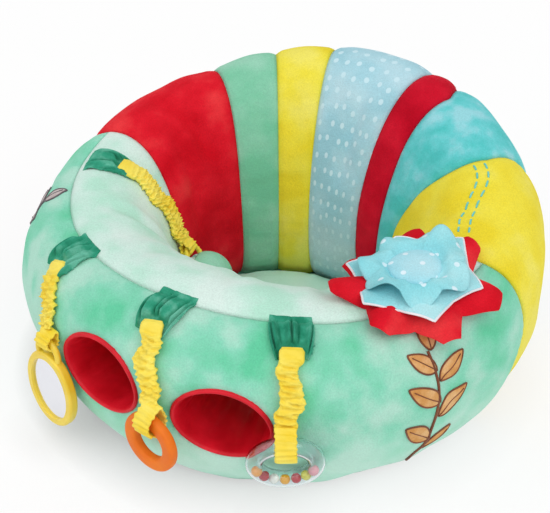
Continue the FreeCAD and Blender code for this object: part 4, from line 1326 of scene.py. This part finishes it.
def petal_rise(share, turn):
    """Petals that rise round the centre like a bowl and end in uneven folds, with a crease between two."""
    bowl = PETAL_BOWL * ease(0.50, 0.72, share)
    crease = between_petals(turn) ** 0.5
    flare = np.maximum(share - 0.66, 0) / 0.34
    ruffle = 0.0085 * np.cos(6 * turn + 0.9) + 0.005 * np.sin(4 * turn + 0.4) - 0.004
    sunk = PETAL_SINK * np.exp(-((share - 0.5) / 0.06) ** 2)
    return bowl + flare * (ruffle + PETAL_CREASE * (crease - 0.6)) - sunk


def round_outline(turn):
    return np.ones_like(turn)


def centre_droop(share, _):
    return -CENTRE_DROOP * share ** 4


flower_layer(
    "flower_red_star", "flower_red_layer", radius=0.0845, lift=layer_lift + 0.0045, thickness=0.0150,
    outline=red_outline, wave=red_wave, finish=red, slot="red_plush",
)
layer_lift += layer_step
blue_middle = flower_layer(
    "flower_blue_star", "flower_blue_layer", radius=0.070, lift=layer_lift + 0.011, thickness=0.0036,
    outline=blue_outline, wave=blue_wave, finish=blue_cloth, slot="blue_cloth",
)
layer_lift += layer_step
flower_layer(
    "flower_dotted_petals", "flower_petals", radius=0.056, lift=layer_lift + 0.012, thickness=0.0050,
    outline=petal_outline, wave=petal_rise, finish=petal_dots, slot="petal_cloth",
)
layer_lift += layer_step
flower_layer(
    "flower_round_centre", "flower_centre", radius=0.0275, lift=layer_lift + 0.0105, thickness=0.006,
    outline=round_outline, wave=centre_droop, finish=centre_dots, slot="petal_cloth",
)
THREAD_SIDES = 8


def thread_rings(line, ahead, upright, radius):
    """Rings of points round a line, which runs ahead at each of its points."""
    side = unit(np.cross(ahead, upright))
    over = np.cross(side, ahead)
    turn = full_turn(THREAD_SIDES)[None, :, None]
    return line[:, None] + radius * (side[:, None] * np.cos(turn) + over[:, None] * np.sin(turn))


EDGING_RADIUS = 0.0012
pale_edge = satin("pale_edge", shade(226, 226, 232), shade(246, 240, 244))
edge_line = blue_middle[-1]
edge_ahead = unit(np.roll(edge_line, -1, axis=0) - np.roll(edge_line, 1, axis=0))
edge_rings = thread_rings(edge_line, edge_ahead, UP, EDGING_RADIUS)
edge_faces = grid_faces(len(edge_line), THREAD_SIDES, True, True)
edging = add_piece("flower_blue_edging", edge_rings, edge_faces, pale_edge)
fit(edging, "cover", "blue_cloth")


# Sewn motifs: plain leaves of brushed cotton on the right and the left of the front wall, each edged with a
# close stitch, and two wavy rows of turquoise running stitch on the yellow panel.
def wall_patch(angle, turn, side, up):
    """Places on the wall beside a place, given in metres along the ring and up the wall."""
    reach = np.hypot(*ring_point(angle, turn)[:2])
    step = np.linalg.norm(ring_point(angle, turn + 1) - ring_point(angle, turn))
    return angle + np.degrees(side / reach), turn + up / step


def on_plush(angle, turn, lift):
    point, out = ring_wall(angle, turn)
    return point + out * (front_relief(angle, turn) + lift)[..., None]


ASKEW = np.array([0.31, 0.22, 0.92])


def sew(points, faces, line, radius):
    """Adds a thread along an open line to a list of points and a list of faces."""
    rings = thread_rings(line, unit(np.gradient(line, axis=0)), ASKEW, radius)
    first = len(points)
    points.extend(rings.reshape(-1, 3).tolist())
    faces.extend([[corner + first for corner in face] for face in capped(len(line), THREAD_SIDES)])


LEAF_ROWS, LEAF_COLUMNS = 30, 13
LEAF_LIFT = 0.0004
LEAF_CROWN = 0.0014
STEM_POINTS = 60
STEM_RADIUS = 0.0016
EDGE_STITCH = 0.0010
VEIN_STITCH = 0.0006
STITCH_LIFT = 0.0006
VEIN_LIFT = 0.0018


def sprig(name, angle, turn, stem, leaves, cloth, thread):
    """A stem with leaves. Each leaf has a place on the wall, a direction, a length and a width."""
    points, faces, thread_points, thread_faces = [], [], [], []

    def place(side, up, lift):
        return on_plush(*wall_patch(angle, turn, side, up), lift)

    share = np.linspace(0, 1, STEM_POINTS)
    stem_side = stem["side"] * share + stem["bow"] * np.sin(np.pi * share)
    stem_up = stem["foot"] + (stem["top"] - stem["foot"]) * share
    sew(thread_points, thread_faces, place(stem_side, stem_up, STITCH_LIFT), STEM_RADIUS)
    for side, up, heading, length, width in leaves:
        run = np.linspace(0, 1, LEAF_ROWS)[:, None]
        across = np.linspace(-1, 1, LEAF_COLUMNS)[None, :]
        half = width / 2 * np.sin(np.pi * run ** 0.85) ** 0.8
        ahead = np.array([math.sin(math.radians(heading)), math.cos(math.radians(heading))])
        right = np.array([ahead[1], -ahead[0]])
        leaf_side = side + ahead[0] * run * length + right[0] * across * half
        leaf_up = up + ahead[1] * run * length + right[1] * across * half
        crown = LEAF_CROWN * np.sqrt(np.maximum(1 - across ** 2, 0)) * np.sin(np.pi * run) ** 0.5
        first = len(points)
        points.extend(place(leaf_side, leaf_up, LEAF_LIFT + crown).reshape(-1, 3).tolist())
        faces.extend((grid_faces(LEAF_ROWS, LEAF_COLUMNS)[:, ::-1] + first).tolist())
        rim_side = np.concatenate([leaf_side[:, 0], leaf_side[::-1, -1]])
        rim_up = np.concatenate([leaf_up[:, 0], leaf_up[::-1, -1]])
        sew(thread_points, thread_faces, place(rim_side, rim_up, STITCH_LIFT), EDGE_STITCH)
        vein = run[:-4, 0] * length
        line = place(side + ahead[0] * vein, up + ahead[1] * vein, VEIN_LIFT)
        sew(thread_points, thread_faces, line, VEIN_STITCH)
    patch = add_piece(name + "_leaves", points, faces, cloth)
    fit(patch, "cover", "mint_plush")
    stitch = add_piece(name + "_stitches", thread_points, thread_faces, thread)
    fit(stitch, "cover", "mint_plush")


tan_cotton = plush(
    "tan_cotton", shade(214, 150, 84), shade(226, 168, 104), shade(236, 188, 132), blotch=0.012, sheen=0.1
)
grey_cotton = plush(
    "grey_cotton", shade(192, 178, 176), shade(206, 194, 192), shade(220, 210, 208), blotch=0.012, sheen=0.1
)
brown_thread = satin("brown_thread", shade(112, 62, 40), shade(138, 80, 52), 0.0006)
grey_thread = satin("grey_thread", shade(88, 80, 84), shade(110, 100, 104), 0.0006)
sprig(
    "right_sprig", 61.0, 8.0, dict(side=0.006, foot=-0.085, top=0.052, bow=0.007),
    [
        (0.010, 0.052, 4, 0.040, 0.019),
        (0.011, 0.030, -52, 0.038, 0.018), (0.013, 0.018, 58, 0.040, 0.019),
        (0.013, -0.006, -56, 0.044, 0.020), (0.013, -0.022, 60, 0.042, 0.020),
        (0.009, -0.046, -58, 0.040, 0.018), (0.006, -0.060, 62, 0.036, 0.017),
    ],
    tan_cotton, brown_thread,
)
sprig(
    "left_sprig", -68.0, 36.0, dict(side=0.010, foot=-0.035, top=0.020, bow=0.004),
    [(0.010, 0.018, 6, 0.034, 0.018), (0.008, 0.000, -56, 0.032, 0.016), (0.009, -0.008, 62, 0.034, 0.016)],
    grey_cotton, grey_thread,
)
turquoise_thread = satin("turquoise_thread", shade(96, 196, 196), shade(128, 214, 210), 0.0006)
STITCH_LENGTH = 0.008
STITCH_STEP = 0.013
STITCH_RADIUS = 0.0011
STITCH_BOW = 0.0012
STITCH_SINK = 0.0006
STITCH_POINTS = 10
STITCHES_IN_ROW = 8
ROW_START = 95.0
ROW_RADIUS = 0.21
ROW_WAVE = 4.0
ROW_WAVES = 12
stitch_points, stitch_faces = [], []
for row_turn in (96.0, 104.0):
    for stitch in range(STITCHES_IN_ROW):
        run = np.linspace(0, STITCH_LENGTH, STITCH_POINTS) + stitch * STITCH_STEP
        angle = ROW_START + np.degrees(run / ROW_RADIUS)
        turn = row_turn + ROW_WAVE * np.sin(np.radians(angle - ROW_START) * ROW_WAVES)
        edges = [seam_across(angle, turn, seam) for seam in ("right", "yellow")]
        point, out = ring_wall(angle, turn)
        bow = STITCH_BOW * np.sin(np.linspace(0, np.pi, STITCH_POINTS)) ** 0.5 - STITCH_SINK
        lift = plush_relief(angle, turn, edges) + bow
        sew(stitch_points, stitch_faces, point + out * lift[:, None], STITCH_RADIUS)
running_stitch = add_piece("yellow_panel_stitches", stitch_points, stitch_faces, turquoise_thread)
fit(running_stitch, "cover", "turquoise_plush")

# Studio: a plain white floor and a white sky, two broad soft lamps from the sides and above, and the camera
# at the photograph's place. The floor keeps the seat's shadow, and close to the seat a painted shadow darkens
# its white.
FLOOR_WHITE_SHARE = 0.78
FLOOR_HALF = 6.0
# Reach of the painted shadow round the seat
PAINTED_SHADOW_REACH = 0.06


def seen_directly(owner):
    """One where the camera, a reflection or a clear piece looks straight at this, and else zero."""
    paths = add_node(owner, "LightPath")
    direct = add_node(owner, "Math")
    direct.operation = "MAXIMUM"
    join(owner, paths, "Is Camera Ray", direct, 0)
    join(owner, paths, "Is Glossy Ray", direct, 1)
    seen = add_node(owner, "Math")
    seen.operation = "MAXIMUM"
    join(owner, direct, 0, seen, 0)
    join(owner, paths, "Is Transmission Ray", seen, 1)
    return seen


floor_finish = new_finish("studio_floor", Base_Color=grey(1), Roughness=0.9, Specular_IOR_Level=0.1)
floor_white = add_node(floor_finish, "Emission", Strength=1.0)
painted_contact_shadow = add_node(floor_finish, "AmbientOcclusion", Distance=PAINTED_SHADOW_REACH)
# Painted shadow: ambient occlusion darkens the floor's white close to the seat. It is deep on the left and
# faint on the right, set by the floor's X position.
floor_where = add_node(floor_finish, "TexCoord")
floor_parts = add_node(floor_finish, "SeparateXYZ")
join(floor_finish, floor_where, "Object", floor_parts, "Vector")
painted_shadow_side = add_node(floor_finish, "MapRange", From_Min=-0.15, From_Max=0.2, To_Min=0.75, To_Max=0.12)
join(floor_finish, floor_parts, "X", painted_shadow_side, "Value")
painted_floor_shadow = add_node(floor_finish, "MixRGB", Color1=grey(1))
join(floor_finish, painted_shadow_side, "Result", painted_floor_shadow, "Fac")
join(floor_finish, painted_contact_shadow, "Color", painted_floor_shadow, "Color2")
join(floor_finish, painted_floor_shadow, "Color", floor_white, "Color")
floor_share = add_node(floor_finish, "Math")
floor_share.operation = "MULTIPLY"
floor_share.inputs[1].default_value = FLOOR_WHITE_SHARE
join(floor_finish, seen_directly(floor_finish), 0, floor_share, 0)
floor_mix = add_node(floor_finish, "MixShader")
join(floor_finish, floor_share, 0, floor_mix, 0)
join(floor_finish, shader_of(floor_finish), "BSDF", floor_mix, 1)
join(floor_finish, floor_white, "Emission", floor_mix, 2)
join(floor_finish, floor_mix, "Shader", floor_finish.node_tree.nodes["Material Output"], "Surface")
floor_points = np.array([(-1, -1, 0), (1, -1, 0), (1, 1, 0), (-1, 1, 0)]) * FLOOR_HALF
floor = add_piece("studio_floor", floor_points, [[0, 1, 2, 3]], floor_finish)

SKY_STRENGTH = 0.52
world = bpy.data.worlds.new("studio")
bpy.context.scene.world = world
world.use_nodes = True
sky_light = world.node_tree.nodes["Background"]
sky_light.inputs["Color"].default_value = grey(1)
sky_light.inputs["Strength"].default_value = SKY_STRENGTH
sky_white = add_node(world, "Background", Color=grey(1))
sky_mix = add_node(world, "MixShader")
join(world, seen_directly(world), 0, sky_mix, 0)
join(world, sky_light, 0, sky_mix, 1)
join(world, sky_white, 0, sky_mix, 2)
join(world, sky_mix, 0, world.node_tree.nodes["World Output"], "Surface")


def ray_to(azimuth, elevation):
    """The way from the seat to a lamp or the camera."""
    side, up = math.radians(azimuth), math.radians(elevation)
    return Vector((math.sin(side) * math.cos(up), -math.cos(side) * math.cos(up), math.sin(up)))


def add_sun(name, azimuth, elevation, strength, softness):
    lamp = bpy.data.lights.new(name, "SUN")
    lamp.energy = strength
    lamp.angle = math.radians(softness)
    holder = bpy.data.objects.new(name, lamp)
    bpy.context.scene.collection.objects.link(holder)
    holder.rotation_mode = "QUATERNION"
    holder.rotation_quaternion = ray_to(azimuth, elevation).to_track_quat("Z", "Y")


add_sun("key_light", azimuth=70, elevation=52, strength=1.05, softness=50)
add_sun("fill_light", azimuth=-35, elevation=48, strength=0.75, softness=60)

CAMERA_AZIMUTH = 30.7
CAMERA_ELEVATION = 34.8
CAMERA_DISTANCE = 1.62
CAMERA_TARGET = Vector((0, 0, 0.1))
FOCAL_PIXELS = 1414
PICTURE = (550, 513)
PRINCIPAL = (281.6, 277.0)
SENSOR = 36.0
camera = bpy.data.cameras.new("camera")
camera.sensor_width = SENSOR
camera.lens = SENSOR * FOCAL_PIXELS / PICTURE[0]
camera.shift_x = -(PRINCIPAL[0] - PICTURE[0] / 2) / PICTURE[0]
camera.shift_y = (PRINCIPAL[1] - PICTURE[1] / 2) / PICTURE[0]
camera_holder = bpy.data.objects.new("camera", camera)
bpy.context.scene.collection.objects.link(camera_holder)
camera_ray = ray_to(CAMERA_AZIMUTH, CAMERA_ELEVATION)
camera_holder.location = CAMERA_TARGET + camera_ray * CAMERA_DISTANCE
camera_holder.rotation_mode = "QUATERNION"
camera_holder.rotation_quaternion = (-camera_ray).to_track_quat("-Z", "Y")
bpy.context.scene.camera = camera_holder
bpy.context.scene.view_settings.view_transform = "Standard"
